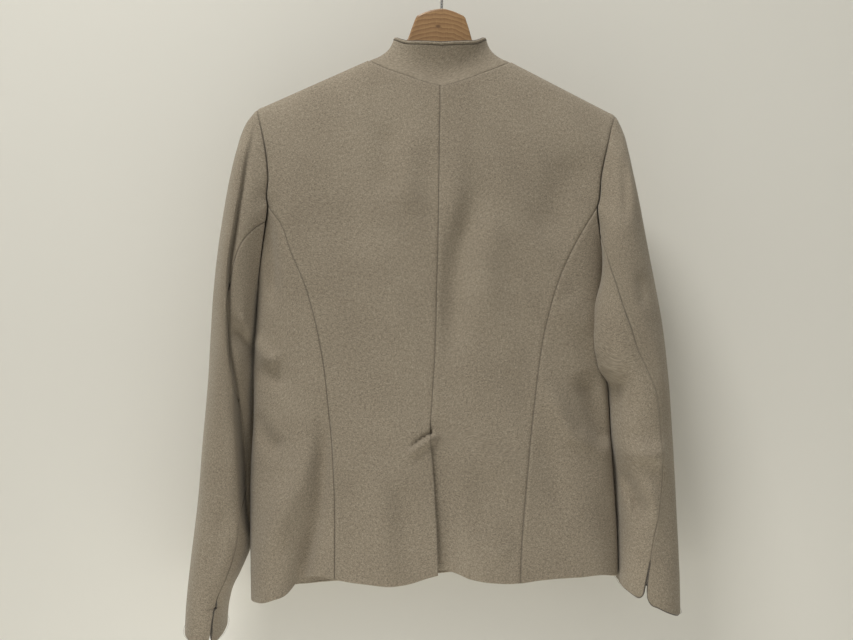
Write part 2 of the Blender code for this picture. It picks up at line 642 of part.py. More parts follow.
def sleeve_piece(name, sleeve, columns, material):
    """Upper or under sleeve between two seams, given as columns of the armhole ring."""
    angles = sleeve.ring_angle.copy()
    count = len(angles)
    picked = [angles[column % count] + 2 * math.pi * (column // count) for column in columns]
    shares = spread(*SLEEVE_ROWS)
    angle, share = np.meshgrid(np.array(picked), shares, indexing="ij")
    length = sleeve.along_ring(sleeve.ring_height, angle) - sleeve.hem(angle)
    above_hem = (1 - share) * length
    seam = sleeve.ring_angle[sleeve.back_column]
    wrapped = np.mod(angle, 2 * math.pi)
    opening = np.clip(1 - above_hem / SLIT_LENGTH, 0.0, 1.0)
    retreat = opening**1.3 * SLIT_OPENING + 0.02 * MM
    near = np.exp(-(((wrapped - seam) / math.radians(SLIT_REACH)) ** 2))
    away = 1 if columns[0] % count == sleeve.back_column else -1
    angle = angle + away * near * retreat / SLIT_RADIUS
    rounded = SLIT_CORNER * near**3 * (above_hem < 1e-6)
    share = share - rounded / length
    points = sleeve.point(angle, share)
    normals = sleeve.normal(angle, np.maximum(share, 0.004))
    leave = unit(points[:, 1] - points[:, 0])
    panel_normal = sleeve.along_ring(sleeve.ring_normal, angle[:, 0])
    dive = np.clip(-np.sum(leave * panel_normal, axis=-1, keepdims=True) / 0.2, 0.0, 1.0)
    normals[:, 0] = unit(normals[:, 0] * (1 - dive) + panel_normal * dive)
    points[:, 0] += leave * SEAM_GAP + panel_normal * SEAM_GAP * 0.7 * (1 - dive)
    points = part_at_seams(points, last_row=False)
    cloth_shell(name, points, -normals, CLOTH_WALL, material)
    return points, normals


def piping(name, path, radius, material):
    """Round cord sewn along an edge."""
    curve = bpy.data.curves.new(name, "CURVE")
    curve.dimensions = "3D"
    curve.bevel_depth = radius
    curve.bevel_resolution = 2
    curve.use_fill_caps = True
    spline = curve.splines.new("POLY")
    spline.points.add(len(path) - 1)
    for spline_point, place in zip(spline.points, path):
        spline_point.co = (*place, 1.0)
    return new_object(name, curve, material)


def neck_ring():
    """Corners of the neck seam from the right front's end over the back to the left front's end."""
    halves = []
    for side in (1, -1):
        turn, height, lift = front_grid(side, neck_shares(side, front=True), np.array([1.0]))
        front = section_point(turn, height, lift)[:, 0]
        front_facing = section_normal(turn, height)[:, 0]
        past = np.argmax(side * front[:, 0] > COLLAR_END)
        before, after = front[past - 1], front[past]
        share = (side * COLLAR_END - before[0]) / (after[0] - before[0])
        start = before + (after - before) * share
        shares = neck_shares(side, front=False)
        height = top_height(shares, side, front=False)
        turn = side * shares * seam_turn(height, side)
        places = np.concatenate([[start], front[past:-1], section_point(turn, height)[::-1]])
        back_facing = section_normal(turn, height)[::-1]
        facing = np.concatenate([front_facing[past : past + 1], front_facing[past:-1], back_facing])
        halves.append((places, facing))
    (right, right_facing), (left, left_facing) = halves
    return np.concatenate([right, left[-2::-1]]), np.concatenate([right_facing, left_facing[-2::-1]])


def collar_piece(name, material):
    """Stand collar, a band that rises and closes in from the neck seam, open at the centre front."""
    base, base_facing = neck_ring()
    side = np.where(base[:, 0] < 0, -1, 1)
    widths = np.where(side < 0, NECK_WIDTH[-1], NECK_WIDTH[1])
    bearing = np.arctan2(np.abs(base[:, 0]) / widths, np.clip(-base[:, 1] / (32 * MM), -1, 1))
    top_width = np.where(side < 0, COLLAR_TOP_HALF_WIDTH[-1], COLLAR_TOP_HALF_WIDTH[1])
    stops = np.array(COLLAR_TOP_HEIGHTS)
    middle = (COLLAR_TOP_BACK + COLLAR_TOP_FRONT) / 2
    half_depth = (COLLAR_TOP_FRONT - COLLAR_TOP_BACK) / 2
    top = np.stack(
        [
            side * top_width * np.sin(bearing) ** 0.85,
            middle - half_depth * np.cos(bearing),
            smooth_curve(stops[:, 0], stops[:, 1] * MM, np.degrees(bearing)),
        ],
        axis=-1,
    )
    climbs = np.array([0.0, 0.12, 0.35, 0.6, 0.82, 1.0])
    base = base + unit(top - base) * SEAM_GAP
    centre_line = np.array([0.0, 4 * MM, 0.0])
    points = base[:, None] + (top - base)[:, None] * climbs[None, :, None]
    inward = unit((centre_line - (base + top) / 2) * np.array([1.0, 1.0, 0.0]))[:, None]
    points = points + inward * (COLLAR_HOLLOW * np.sin(math.pi * climbs))[None, :, None]
    steps = unit(points[1:] - points[:-1])
    around = np.concatenate([steps[:1], steps[1:] + steps[:-1], steps[-1:]])
    upward = np.gradient(points, axis=1)
    normals = unit(np.cross(upward, around))
    outward = np.sum(normals * -inward, axis=-1, keepdims=True)
    normals = normals * np.sign(outward)
    normals[:, 0] = unit(base_facing)
    cloth_shell(name, points, -normals, COLLAR_WALL, material)
    path = points[:, -1] - normals[:, -1] * COLLAR_WALL / 2
    path = path + unit(points[:, -1] - points[:, -2]) * (PIPING_RADIUS + SEAM_GAP)
    return path


def button(name, place, facing, material):
    """Round button with a raised rim and four sewing holes left to the finish."""
    mesh_data = bmesh.new()
    bmesh.ops.create_cone(
        mesh_data,
        cap_ends=True,
        segments=24,
        radius1=BUTTON_RADIUS,
        radius2=BUTTON_RADIUS,
        depth=BUTTON_THICKNESS,
    )
    upper = [face for face in mesh_data.faces if face.normal.z > 0.9]
    bmesh.ops.inset_region(mesh_data, faces=upper, thickness=2.4 * MM)
    bmesh.ops.translate(mesh_data, verts=upper[0].verts[:], vec=(0, 0, -1.2 * MM))
    mesh = bpy.data.meshes.new(name)
    mesh_data.to_mesh(mesh)
    mesh_data.free()
    mesh.shade_smooth()
    mesh.set_sharp_from_angle(angle=math.radians(40))
    piece = new_object(name, mesh, material)
    piece.rotation_mode = "QUATERNION"
    piece.rotation_quaternion = facing.to_track_quat("Z", "Y")
    piece.location = place
    return piece


def hanger_outline():
    """Outline of the wooden body, from the left arm's end over the head and back below."""
    upper = [(x * MM, z * MM) for x, z in WOOD_HEAD]
    left, right, dips = [], [], []
    for side, line in ((-1, left), (1, right)):
        start, end = NECK_WIDTH[side] + 9 * MM, ARM_REACH[side]
        for share in np.linspace(0.0, 1.0, 6):
            x = side * (start + (end - start) * share)
            line.append((x, ridge_height(x, side) - WOOD_BELOW_RIDGE))
        dip = side * (NECK_WIDTH[side] - 1 * MM)
        rise = side * (NECK_WIDTH[side] - 10 * MM)
        dips.append([(dip, NECK_HEIGHT[side] - WOOD_DIP), (rise, NECK_HEIGHT[side] - WOOD_DIP + 8 * MM)])
    upper = left[::-1] + dips[0] + upper + dips[1][::-1] + right
    lower = []
    for side, line in ((1, right), (-1, left)):
        depths = np.linspace(ARM_DEPTH_CENTRE, ARM_DEPTH_END, len(line))
        pairs = [(x, z - depth) for (x, z), depth in zip(line, depths)]
        end_x, end_z = line[-1]
        nose = (end_x + side * 5 * MM, end_z - ARM_DEPTH_END * 0.5)
        lower.extend([nose] + pairs[::-1] if side > 0 else [(0.0, WOOD_LOW)] + pairs + [nose])
    return upper + lower


def hanger_wood(name, material):
    """Flat wooden body with rounded edges."""
    curve = bpy.data.curves.new(name, "CURVE")
    curve.dimensions = "2D"
    curve.fill_mode = "BOTH"
    curve.extrude = WOOD_HALF_THICKNESS - WOOD_EDGE
    curve.bevel_depth = WOOD_EDGE
    curve.bevel_resolution = 1
    curve.offset = -WOOD_EDGE
    outline = hanger_outline()
    spline = curve.splines.new("POLY")
    spline.points.add(len(outline) - 1)
    spline.use_cyclic_u = True
    for spline_point, (x, z) in zip(spline.points, outline):
        spline_point.co = (x, z, 0.0, 1.0)
    piece = new_object(name, curve, material)
    piece.rotation_euler = (math.radians(90), 0.0, 0.0)
    weld = piece.modifiers.new("Weld", "WELD")
    weld.merge_threshold = 0.00001
    return piece


def hanger_hook(name, material):
    """Wire hook: a stem out of the wood's top that swings round over the origin."""
    radius = HOOK_RADIUS + HOOK_WIRE_RADIUS
    stem = ((0.0, 0.3), (0.0, 6.0), (0.4, 12.0), (3.5, 18.0))
    path = [(x * MM, WOOD_TOP + rise * MM) for x, rise in stem]
    for degrees in range(-58, 201, 12):
        angle = math.radians(degrees)
        path.append((radius * math.cos(angle), -HOOK_RADIUS + radius * math.sin(angle)))
    return piping(name, [(x, 0.0, z) for x, z in path], HOOK_WIRE_RADIUS, material)


def plain_material(name, colour, roughness, metallic=0.0):
    """Principled material with one colour."""
    material = bpy.data.materials.new(name)
    material.use_nodes = True
    shader = material.node_tree.nodes["Principled BSDF"]
    shader.inputs["Base Color"].default_value = (*colour, 1.0)
    shader.inputs["Roughness"].default_value = roughness
    shader.inputs["Metallic"].default_value = metallic
    return material


def build_sleeve(side, word):
    """Both pieces of a sleeve and the piping on its cuff."""
    sleeve = Sleeve(side)
    count = len(sleeve.ring_angle)
    upper_columns = list(range(sleeve.front_column, count + sleeve.back_column + 1))
    under_columns = list(range(sleeve.back_column, sleeve.front_column + 1))
    for kind, columns in (("upper", upper_columns), ("under", under_columns)):
        points, normals = sleeve_piece(f"sleeve_{kind}_{word}", sleeve, columns, wool)
        edge = points[:, -1] - normals[:, -1] * CLOTH_WALL / 2
        edge = edge + unit(points[:, -1] - points[:, -2]) * (PIPING_RADIUS + 2 * SEAM_GAP)
        edge[0] += (edge[1] - edge[0]) * PIPING_SETBACK
        edge[-1] += (edge[-2] - edge[-1]) * PIPING_SETBACK
        piping(f"cuff_piping_{kind}_{word}", edge, PIPING_RADIUS, braid)


for old in list(bpy.data.objects):
    bpy.data.objects.remove(old)

jacket_collection = bpy.data.collections.new("wool_jacket")
bpy.context.scene.collection.children.link(jacket_collection)

wool = plain_material("wool", (0.36, 0.31, 0.235), 0.9)
braid = plain_material("braid", (0.14, 0.12, 0.10), 0.8)
horn = plain_material("horn", (0.16, 0.12, 0.08), 0.35)
beech = plain_material("beech", (0.47, 0.27, 0.13), 0.5)
steel = plain_material("steel", (0.6, 0.6, 0.6), 0.3, 1.0)

back_panel("back_left", -1, wool)
back_panel("back_right", 1, wool)
side_back_panel("side_back_left", -1, wool)
side_back_panel("side_back_right", 1, wool)
front_panel("front_left", -1, wool)
front_panel("front_right", 1, wool)
collar_edge = collar_piece("collar", wool)
piping("collar_piping", collar_edge, PIPING_RADIUS, braid)
build_sleeve(-1, "left")
build_sleeve(1, "right")

for number in range(BUTTON_COUNT):
    button_height = np.array(BUTTON_TOP + (BUTTON_BOTTOM - BUTTON_TOP) * number / (BUTTON_COUNT - 1))
    surface = section_point(np.array(math.pi - 1e-3), button_height, LAP_STEP)
    outward = section_normal(np.array(math.pi - 1e-3), button_height)
    seat = surface + outward * (BUTTON_THICKNESS / 2 + 2 * SEAM_GAP)
    button(f"button_{number + 1}", mathutils.Vector(seat), mathutils.Vector(outward), horn)

hanger_wood("hanger_wood", beech)
hanger_hook("hanger_hook", steel)
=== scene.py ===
"""Looks of a women's short wool jacket on a wooden hanger, hung with its back to the viewer.

Metres, +Z up, the jacket's back towards -Y. The origin is where a rail carries the hanger's hook.
Left and right are the wearer's, and they are also the viewer's from behind: left is -X.
Tables are in millimetres, and MM turns them into metres.
"""

import logging
import math
from dataclasses import dataclass
from enum import Enum

import bmesh
import bpy
import numpy as np
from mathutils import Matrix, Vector


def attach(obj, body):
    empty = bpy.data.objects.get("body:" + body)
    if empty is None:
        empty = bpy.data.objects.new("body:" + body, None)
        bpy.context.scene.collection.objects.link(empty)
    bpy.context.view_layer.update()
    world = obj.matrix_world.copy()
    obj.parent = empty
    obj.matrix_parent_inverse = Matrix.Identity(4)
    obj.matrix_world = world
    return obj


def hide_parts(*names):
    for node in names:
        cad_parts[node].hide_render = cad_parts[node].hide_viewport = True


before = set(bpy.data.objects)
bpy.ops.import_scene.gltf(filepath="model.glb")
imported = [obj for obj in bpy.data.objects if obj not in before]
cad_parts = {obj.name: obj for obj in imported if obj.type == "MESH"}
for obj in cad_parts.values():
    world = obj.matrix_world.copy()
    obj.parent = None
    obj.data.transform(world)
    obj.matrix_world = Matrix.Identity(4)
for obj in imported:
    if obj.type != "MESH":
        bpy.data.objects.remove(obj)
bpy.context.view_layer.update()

LOG = logging.getLogger("jacket")
MM = 0.001
SIDES = ((-1, "left"), (1, "right"))
ORIGIN = (0.0, 0.0, 0.0)
NO_BUMP = (0.0, 0.0)

Array = np.ndarray
Piece = bpy.types.Object
Material = bpy.types.Material
Socket = bpy.types.NodeSocket
Triple = tuple[float, float, float]

# Cloth
CLOTH_WALL = 2.0 * MM
COLLAR_WALL = 2.8 * MM
SEAM_GAP = 0.12 * MM
SEAM_DEPTH = 0.75 * MM
SEAM_REACH = 1.2 * MM
SEAM_SHADE = 0.8 / MM
SLEEVE_SEAM_DEPTH = 0.5 * MM
# The sleeves' seams are pressed flat and hardly show between these heights
FLAT_SEAM_TOP = -430 * MM
FLAT_SEAM_END = -735 * MM
FLAT_SEAM_SHARE = 0.7
FLAT_SEAM_FADES = (60 * MM, 40 * MM)
# Beside a seam the cloth rises a little, and in it lies a dark line of painted shade
SEAM_PUFF = 0.35 * MM
SEAM_PUFF_PLACE = 5 * MM
SEAM_PUFF_REACH = 3 * MM
SEAM_LINE = 0.6 * MM
GROOVE_DEPTH = 0.8 * MM
GROOVE_SHADE = 0.8
GROOVE_REACH = 0.7 * MM
STITCH_INSET = 3.2 * MM
STITCH_PROUD = 0.15 * MM
# Points closer than this are one
WELD = 0.01 * MM
EDGE_ROUND = 1.3 * MM
PIPING_RADIUS = 1.2 * MM

# Body of the jacket, as sections across it at a height below the hook
SECTION_POWER = 2.6
RIDGE_RADIUS = 9.0 * MM
NECK_WIDTH = {-1: 87.8 * MM, 1: 82.6 * MM}
NECK_HEIGHT = {-1: -125.4 * MM, 1: -127.5 * MM}
SHOULDER_SLOPE = {-1: 0.4446, 1: 0.5164}
TIP_HEIGHT = {-1: -184.0 * MM, 1: -192.1 * MM}
PRINCESS_TOP = {-1: -300.0 * MM, 1: -302.0 * MM}
UNDERARM = -395.0 * MM
VENT_TOP = -565.0 * MM
BODY_COLUMNS = ("height", "left", "left_seam", "centre", "right_seam", "right", "back", "front")
BODY_SECTIONS = (
    (-184, -234, -219.6, -2.3, 210.0, 223, 46, 42), (-205, -229, -213.5, -2.9, 200.8, 217, 47, 43),
    (-230, -223, -207.8, -3.2, 194.4, 211, 49, 45), (-265, -219, -203.6, -3.8, 186.6, 203, 51, 47),
    (-301, -218, -203.3, -4.2, 181.9, 197, 51, 49), (-325, -218, -186.5, -4.5, 167.1, 196, 50, 51),
    (-350, -218, -177.6, -4.9, 152.7, 195, 49, 52), (-395, -218, -158.7, -5.9, 132.9, 195, 47, 53),
    (-440, -220, -146.2, -7.0, 120.6, 195, 45, 52), (-490, -223, -136.6, -9.2, 111.8, 196, 44, 50),
    (-530, -223, -132.2, -11.9, 107.0, 198, 45, 49), (-565, -224, -128.9, -13.7, 103.0, 200, 47, 50),
    (-600, -226, -126.4, -10.8, 99.5, 202, 49, 52), (-640, -227, -124.0, -8.2, 95.6, 205, 51, 54),
    (-690, -227, -123.4, -5.6, 91.4, 208, 53, 56), (-770, -226, -124.0, -5.0, 89.0, 209, 54, 58),
)
BACK_NECK = ((0.0, -161.0), (0.24, -155.2), (0.5, -146.6), (0.75, -138.0), (1.0, None))
FRONT_NECK_DROP = 68 * MM
BACK_HEM = (
    (-226, -765), (-211, -762), (-196, -757), (-178, -750), (-167, -738), (-147, -729), (-128, -732),
    (-90, -737), (-54, -739), (-36, -736), (-20, -731), (-5, -727), (8, -724), (23, -723), (33, -726),
    (45, -731), (62, -735), (88, -736), (118, -733), (157, -731), (191, -731), (209, -736),
)
BACK_HEM_LEVEL = -735 * MM
FRONT_HEM_LEVEL = -740 * MM
FRONT_HEM = ((-226, -765), (-190, -759), (-150, -757), (-95, -755), (0, -746), (120, -741), (209, -736))
HEM_BAND = 36 * MM
HEM_LIFT = 0.5 * MM
HEM_LIFT_REACH = 3 * MM
FOLD_COLUMNS = ("top", "bottom", "x_top", "x_bottom", "rise", "half_width")
BACK_FOLDS = (
    (-560, -700, -165, -204, 20.0, 24.0), (-590, -745, -140, -166, -9.0, 12.0),
    (-600, -745, 150, 178, 5.0, 24.0), (-250, -520, -62, -58, 3.0, 36.0),
    (-260, -520, 60, 52, 3.0, 38.0),
)
VENT_UNDERLAP = 32 * MM
VENT_STEP = 3.3 * MM
VENT_SINK = 9.0 * MM
VENT_FADE = 26 * MM
VENT_FLAT = 10 * MM
VENT_SLANT = 24 * MM
VENT_LEAD = 20 * MM
VENT_RUN = 160 * MM
FRONT_LAP = 18 * MM
LAP_STEP = 3.0 * MM
LAP_FADE = 26 * MM
LAP_DROP = 5 * MM

# Sleeves, as level sections below each shoulder point; the lean shifts their backs towards the body
SLEEVE_COLUMNS = ("height", "outer", "inner", "back", "front", "lean", "back_seam")
SLEEVE_SECTIONS = {
    -1: (
        (-184, -220.0, -200, -12, 14, 0, 106), (-197, -231.0, -201, -22, 26, 0, 106),
        (-215, -239.0, -202, -30, 36, 0, 106), (-233, -243.5, -203, -36, 42, 0, 106),
        (-271, -252.0, -205, -43, 50, 0, 106), (-313, -259.0, -210, -48, 56, 0, 106),
        (-357, -265.5, -215, -50, 60, 0, 92), (-404, -270.5, -219.5, -50, 62, 0, 87),
        (-448, -273.5, -223, -49, 63, 0, 93), (-489, -276.0, -226, -48, 62, 0, 104),
        (-530, -279.0, -227, -47, 60, 0, 122), (-584, -284.0, -226, -46, 57, 0, 136),
        (-641, -288.5, -227, -45, 54, 0, 138), (-690, -294.0, -229, -45, 51, 0, 133),
        (-714, -297.0, -234, -45, 50, 0, 131), (-738, -299.5, -243, -45, 49, 0, 129),
        (-753, -300.8, -250, -45, 48, 0, 126), (-771, -302.0, -254.5, -46, 47, 0, 124),
        (-815, -304.0, -258, -46, 46, 0, 122),
    ),
    1: (
        (-192, 208.5, 190, -12, 14, 0, 114), (-201, 213.0, 190, -20, 24, 0, 114),
        (-212, 217.0, 190, -27, 32, 0, 114), (-235, 222.0, 190, -36, 42, 1, 114),
        (-261, 227.0, 189, -43, 49, 2, 114), (-293, 233.5, 186, -49, 54, 3, 115),
        (-320, 238.5, 179, -52, 57, 3, 119), (-342, 242.8, 174.5, -53, 59, 3, 119),
        (-364, 247.0, 172, -54, 60, 3, 112), (-394, 253.0, 171, -55, 61, 3, 101),
        (-432, 260.0, 172, -56, 61, 3, 91), (-475, 265.5, 176, -56, 60, 2, 82),
        (-494, 267.2, 181, -55, 59, 1, 75), (-508, 268.4, 194, -54, 58, 1, 74),
        (-528, 270.0, 198, -53, 57, 1, 69), (-560, 272.0, 200.5, -52, 55, 1, 68),
        (-620, 275.5, 207, -50, 52, 0, 74), (-680, 278.5, 210, -49, 50, 0, 90),
        (-740, 281.0, 209.5, -49, 48, 0, 105), (-780, 282.0, 207, -49, 47, 0, 108),
    ),
}
SLEEVE_HEM = {-1: (-797, -807, -802), 1: (-778, -765, -744)}
SLEEVE_POWER = 2.3
# Height, and how far the sleeve's front half leans towards the body
FRONT_LEAN = {
    -1: ((-480, 0), (-560, 12), (-690, 14), (-730, 4), (-760, 0)),
    1: ((-480, 0), (-540, 8), (-700, 8), (-760, 0)),
}
SLEEVE_CLEAR = 1.2 * MM
HEAD_BLEND = 16 * MM
# Below the armhole: where the gap to the body opens, and how the cloth turns into the seam
CLEAR_FADE = 16 * MM
BESIDE_START = 25 * MM
BESIDE_FADE = 35 * MM
ARMHOLE_SINK = 3 * MM
ARMHOLE_PUFF = 0.4 * MM
FRONT_SEAM_ANGLE = -75
SLIT_LENGTH = 41 * MM
SLIT_OPENING = 2.2 * MM
SLIT_REACH = 14
SLIT_RADIUS = 42 * MM
SLIT_CORNER = 11 * MM
SLEEVE_FOLD_COLUMNS = ("top", "bottom", "start", "end", "rise", "half_width")
SLEEVE_FOLDS = {-1: ((-230, -620, 112, 106, -3.0, 20),), 1: ((-470, -560, 140, 150, -4.0, 18),)}

# Stand collar
COLLAR_TOP_HALF_WIDTH = {-1: 57 * MM, 1: 53 * MM}
COLLAR_TOP_BACK = -29.5 * MM
COLLAR_TOP_FRONT = 40 * MM
COLLAR_TOP_HEIGHTS = ((0, -110.5), (40, -107.0), (90, -97.5), (140, -122), (180, -148))
COLLAR_HOLLOW = 9.0 * MM
COLLAR_END = 5 * MM
NECK_HALF_DEPTH = 32 * MM
COLLAR_GROOVE = 3.4 * MM
COLLAR_AXIS = np.array([0.0, 4 * MM, 0.0])

# Hanger
WOOD_HALF_THICKNESS = 6.0 * MM
WOOD_EDGE = 2.4 * MM
WOOD_TOP = -62 * MM
WOOD_BELOW_RIDGE = 4.1 * MM
WOOD_DIP = 12 * MM
# Corners between the head and an arm: how far inside the neck's width and above the dip
WOOD_DIPS = ((1 * MM, 0.0), (10 * MM, 8 * MM))
WOOD_LOW = -152 * MM
ARM_DEPTH_CENTRE = 36 * MM
ARM_DEPTH_END = 16 * MM
ARM_START = 9 * MM
ARM_NOSE = 5 * MM
ARM_REACH = {-1: 205 * MM, 1: 192 * MM}
WOOD_HEAD = (
    (-40.2, -100), (-35.2, -86), (-31.4, -76.2), (-29.8, -73.4), (-27, -71.4), (-14, -66.3), (0, -64.2),
    (12.5, -66.8), (24.4, -72), (27.2, -74), (28.6, -76.8), (32, -87), (36, -101),
)
HOOK_WIRE_RADIUS = 1.75 * MM
HOOK_RADIUS = 20 * MM
# Place across and rise over the wood's top
HOOK_STEM = ((0.0, -5.0), (0.0, 3.0), (0.0, 6.0), (0.4, 12.0), (1.6, 15.2), (3.5, 18.0))

# Camera, standing behind the jacket and looking level along +Y
CAMERA_PLACE = Vector((-0.0181, -1.30, -0.434))
CAMERA_LENS = 46.04
CAMERA_SENSOR = 36.0
WALL_TONES = ((0.3, (0.80, 0.785, 0.72)), (0.7, (0.84, 0.825, 0.76)))


def smooth_curve(knots: Array, values: Array, where: Array) -> Array:
    """Read a smooth curve through its knots, level beyond both ends.

    Args:
        knots: Places along the curve, rising.
        values: Value at each knot.
        where: Places to read.

    Returns:
        The curve's values there.
    """
    where = np.clip(where, knots[0], knots[-1])
    slopes = np.gradient(values, knots)
    index = np.clip(np.searchsorted(knots, where, side="right") - 1, 0, len(knots) - 2)
    span = knots[index + 1] - knots[index]
    share = (where - knots[index]) / span
    start, end = values[index], values[index + 1]
    start_slope, end_slope = slopes[index] * span, slopes[index + 1] * span
    square, cube = share**2, share**3
    return (
        start * (2 * cube - 3 * square + 1)
        + start_slope * (cube - 2 * square + share)
        + end * (3 * square - 2 * cube)
        + end_slope * (cube - square)
    )


class Curves:
    """Columns of a table, each read as a smooth curve over the first one."""

    def __init__(self, columns: tuple[str, ...], rows: tuple, degrees: str = "") -> None:
        """Make a curve of each column.

        Args:
            columns: Names of the table's columns, the first one a height.
            rows: The table's rows in millimetres.
            degrees: Column that isn't a length and stays as it is.
        """
        table = np.array(sorted(rows), dtype=float)
        self.heights = table[:, 0] * MM
        scales = [1.0 if name == degrees else MM for name in columns]
        self.values = {name: table[:, index] * scales[index] for index, name in enumerate(columns)}

    def read(self, name: str, height: Array) -> Array:
        """Read one column at a height."""
        return smooth_curve(self.heights, self.values[name], height)


def bell(away: Array, reach: float | Array) -> Array:
    """Fade from 1 to 0 with the distance."""
    return np.exp(-((away / reach) ** 2))


def smooth_step(share: Array) -> Array:
    """Ease from 0 to 1."""
    share = np.clip(share, 0.0, 1.0)
    return share * share * (3 - 2 * share)


def unit(vectors: Array) -> Array:
    """Scale each vector to length 1."""
    return vectors / np.maximum(np.linalg.norm(vectors, axis=-1, keepdims=True), 1e-12)


def travelled(points: Array, axis: int) -> Array:
    """Measure how far along a grid each of its points lies.

    Args:
        points: Grid of points.
        axis: Direction of the grid to walk along.

    Returns:
        Distance from the grid's first column or row, in metres.
    """
    steps = np.linalg.norm(np.diff(points, axis=axis), axis=-1)
    start = np.zeros_like(np.take(steps, [0], axis=axis))
    return np.concatenate([start, np.cumsum(steps, axis=axis)], axis=axis)


def stops(*pattern: float) -> Array:
    """Join evenly spread values between stops.

    Args:
        pattern: Value, count, value, count, value and so on.

    Returns:
        The values in order.
    """
    values = [pattern[0]]
    for count, end in zip(pattern[1::2], pattern[2::2]):
        values.extend(np.linspace(values[-1], end, int(count) + 1)[1:])
    return np.array(values)


@dataclass(frozen=True)
class Crease:
    """Soft trough or ridge along a line over the cloth, seen from behind."""

    path: tuple[tuple[float, float], ...]
    rise: float
    half_width: float
    start: float = 0.0
    end: float = 0.0
    fade: float = 0.35

    def push(self, x: Array, z: Array) -> Array:
        """Work out how far the crease moves the cloth.

        Args:
            x: Places across, in metres.
            z: Heights, in metres.

        Returns:
            Outward move in metres.
        """
        points = np.array(self.path) * MM
        lengths = np.linalg.norm(np.diff(points, axis=0), axis=1)
        total = lengths.sum()
        nearest = np.full(np.broadcast(x, z).shape, np.inf)
        along = np.zeros_like(nearest)
        for index, length in enumerate(lengths):
            step = (points[index + 1] - points[index]) / length
            reach = (x - points[index, 0]) * step[0] + (z - points[index, 1]) * step[1]
            reach = np.clip(reach, 0.0, length)
            away = np.hypot(x - points[index, 0] - step[0] * reach, z - points[index, 1] - step[1] * reach)
            closer = away < nearest
            nearest = np.where(closer, away, nearest)
            along = np.where(closer, (lengths[:index].sum() + reach) / total, along)
        strength = self.start + (1 - self.start) * smooth_step(along / self.fade)
        strength = strength * (self.end + (1 - self.end) * smooth_step((1 - along) / self.fade))
        return self.rise * MM * strength * bell(nearest, self.half_width * MM)


BACK_CREASES = (
    Crease(((-13, -564), (-24, -570.5), (-32, -576), (-43, -584.5)), -3.0, 2.2, 1.0, 0.0, 0.4),
    Crease(((-11, -570), (-24, -577), (-33, -583), (-44, -592)), 3.2, 5.5, 1.0, 0.0, 0.4),
    Crease(((-60, -195), (-66, -235), (-68, -300)), -2.4, 17),
    Crease(((-36, -190), (-38, -260), (-42, -330)), 2.0, 18),
    Crease(((16, -200), (14, -300), (6, -380)), 2.6, 15),
    Crease(((58, -262), (36, -296), (22, -345), (15, -400), (12, -505)), -5.6, 17),
    Crease(((70, -300), (52, -360), (44, -450)), 2.4, 20),
    Crease(((170, -225), (140, -290), (118, -360)), -5.0, 30),
    Crease(((-150, -230), (-120, -300), (-100, -380)), -2.0, 30),
    Crease(((138, -405), (160, -432), (182, -446)), 4.0, 20, 0.4, 0.4),
    Crease(((162, -490), (174, -524), (188, -568)), -8.5, 14, 0.1, 0.9),
    Crease(((118, -500), (150, -568), (194, -586)), 4.5, 11, 0.3, 0.8),
    Crease(((110, -560), (132, -610), (140, -668)), -2.4, 16),
    Crease(((60, -600), (44, -650), (40, -700)), -2.0, 20),
    Crease(((46, -585), (76, -600), (96, -640)), 1.6, 16),
    Crease(((-203, -300), (-200, -370), (-197, -430)), -6.5, 9, 0.4),
    Crease(((-216, -462), (-206, -476), (-186, -486)), 5.5, 9, 0.8),
    Crease(((-216, -496), (-200, -500), (-180, -512)), -3.0, 11, 0.6),
    Crease(((-214, -556), (-204, -574), (-184, -592)), -6.0, 12, 0.7),
    Crease(((-146, -560), (-163, -621), (-187, -668), (-208, -712)), 4.2, 15, 0.0, 0.3),
    Crease(((-140, -520), (-137, -580), (-144, -660), (-159, -712), (-166, -740)), -6.5, 10, 0.0, 0.9),
    Crease(((-76, -590), (-72, -650), (-66, -716)), 2.6, 20, 0.0, 0.8),
    Crease(((-100, -600), (-98, -660), (-98, -722)), -1.6, 16, 0.0, 0.7),
    Crease(((-48, -610), (-44, -670), (-38, -730)), -1.5, 14, 0.0, 0.9),
    Crease(((84, -688), (70, -700), (50, -702)), 1.3, 6),
    Crease(((190, -610), (196, -660), (200, -720)), -2.0, 12, 0.0, 0.8),
)
FRONT_CREASES = (
    Crease(((-150, -240), (-118, -320), (-96, -420)), -4.0, 24),
    Crease(((150, -240), (112, -330), (90, -430)), -4.4, 24),
    Crease(((-178, -430), (-150, -500), (-120, -560)), 3.6, 20),
    Crease(((176, -430), (146, -510), (118, -580)), 4.0, 20),
    Crease(((-70, -560), (-80, -650), (-86, -735)), 3.0, 22, 0.0, 0.9),
    Crease(((78, -570), (84, -650), (90, -730)), 3.4, 22, 0.0, 0.9),
    Crease(((-150, -600), (-160, -670), (-168, -740)), -4.0, 18, 0.0, 0.9),
    Crease(((150, -600), (158, -670), (164, -728)), -4.0, 18, 0.0, 0.9),
)
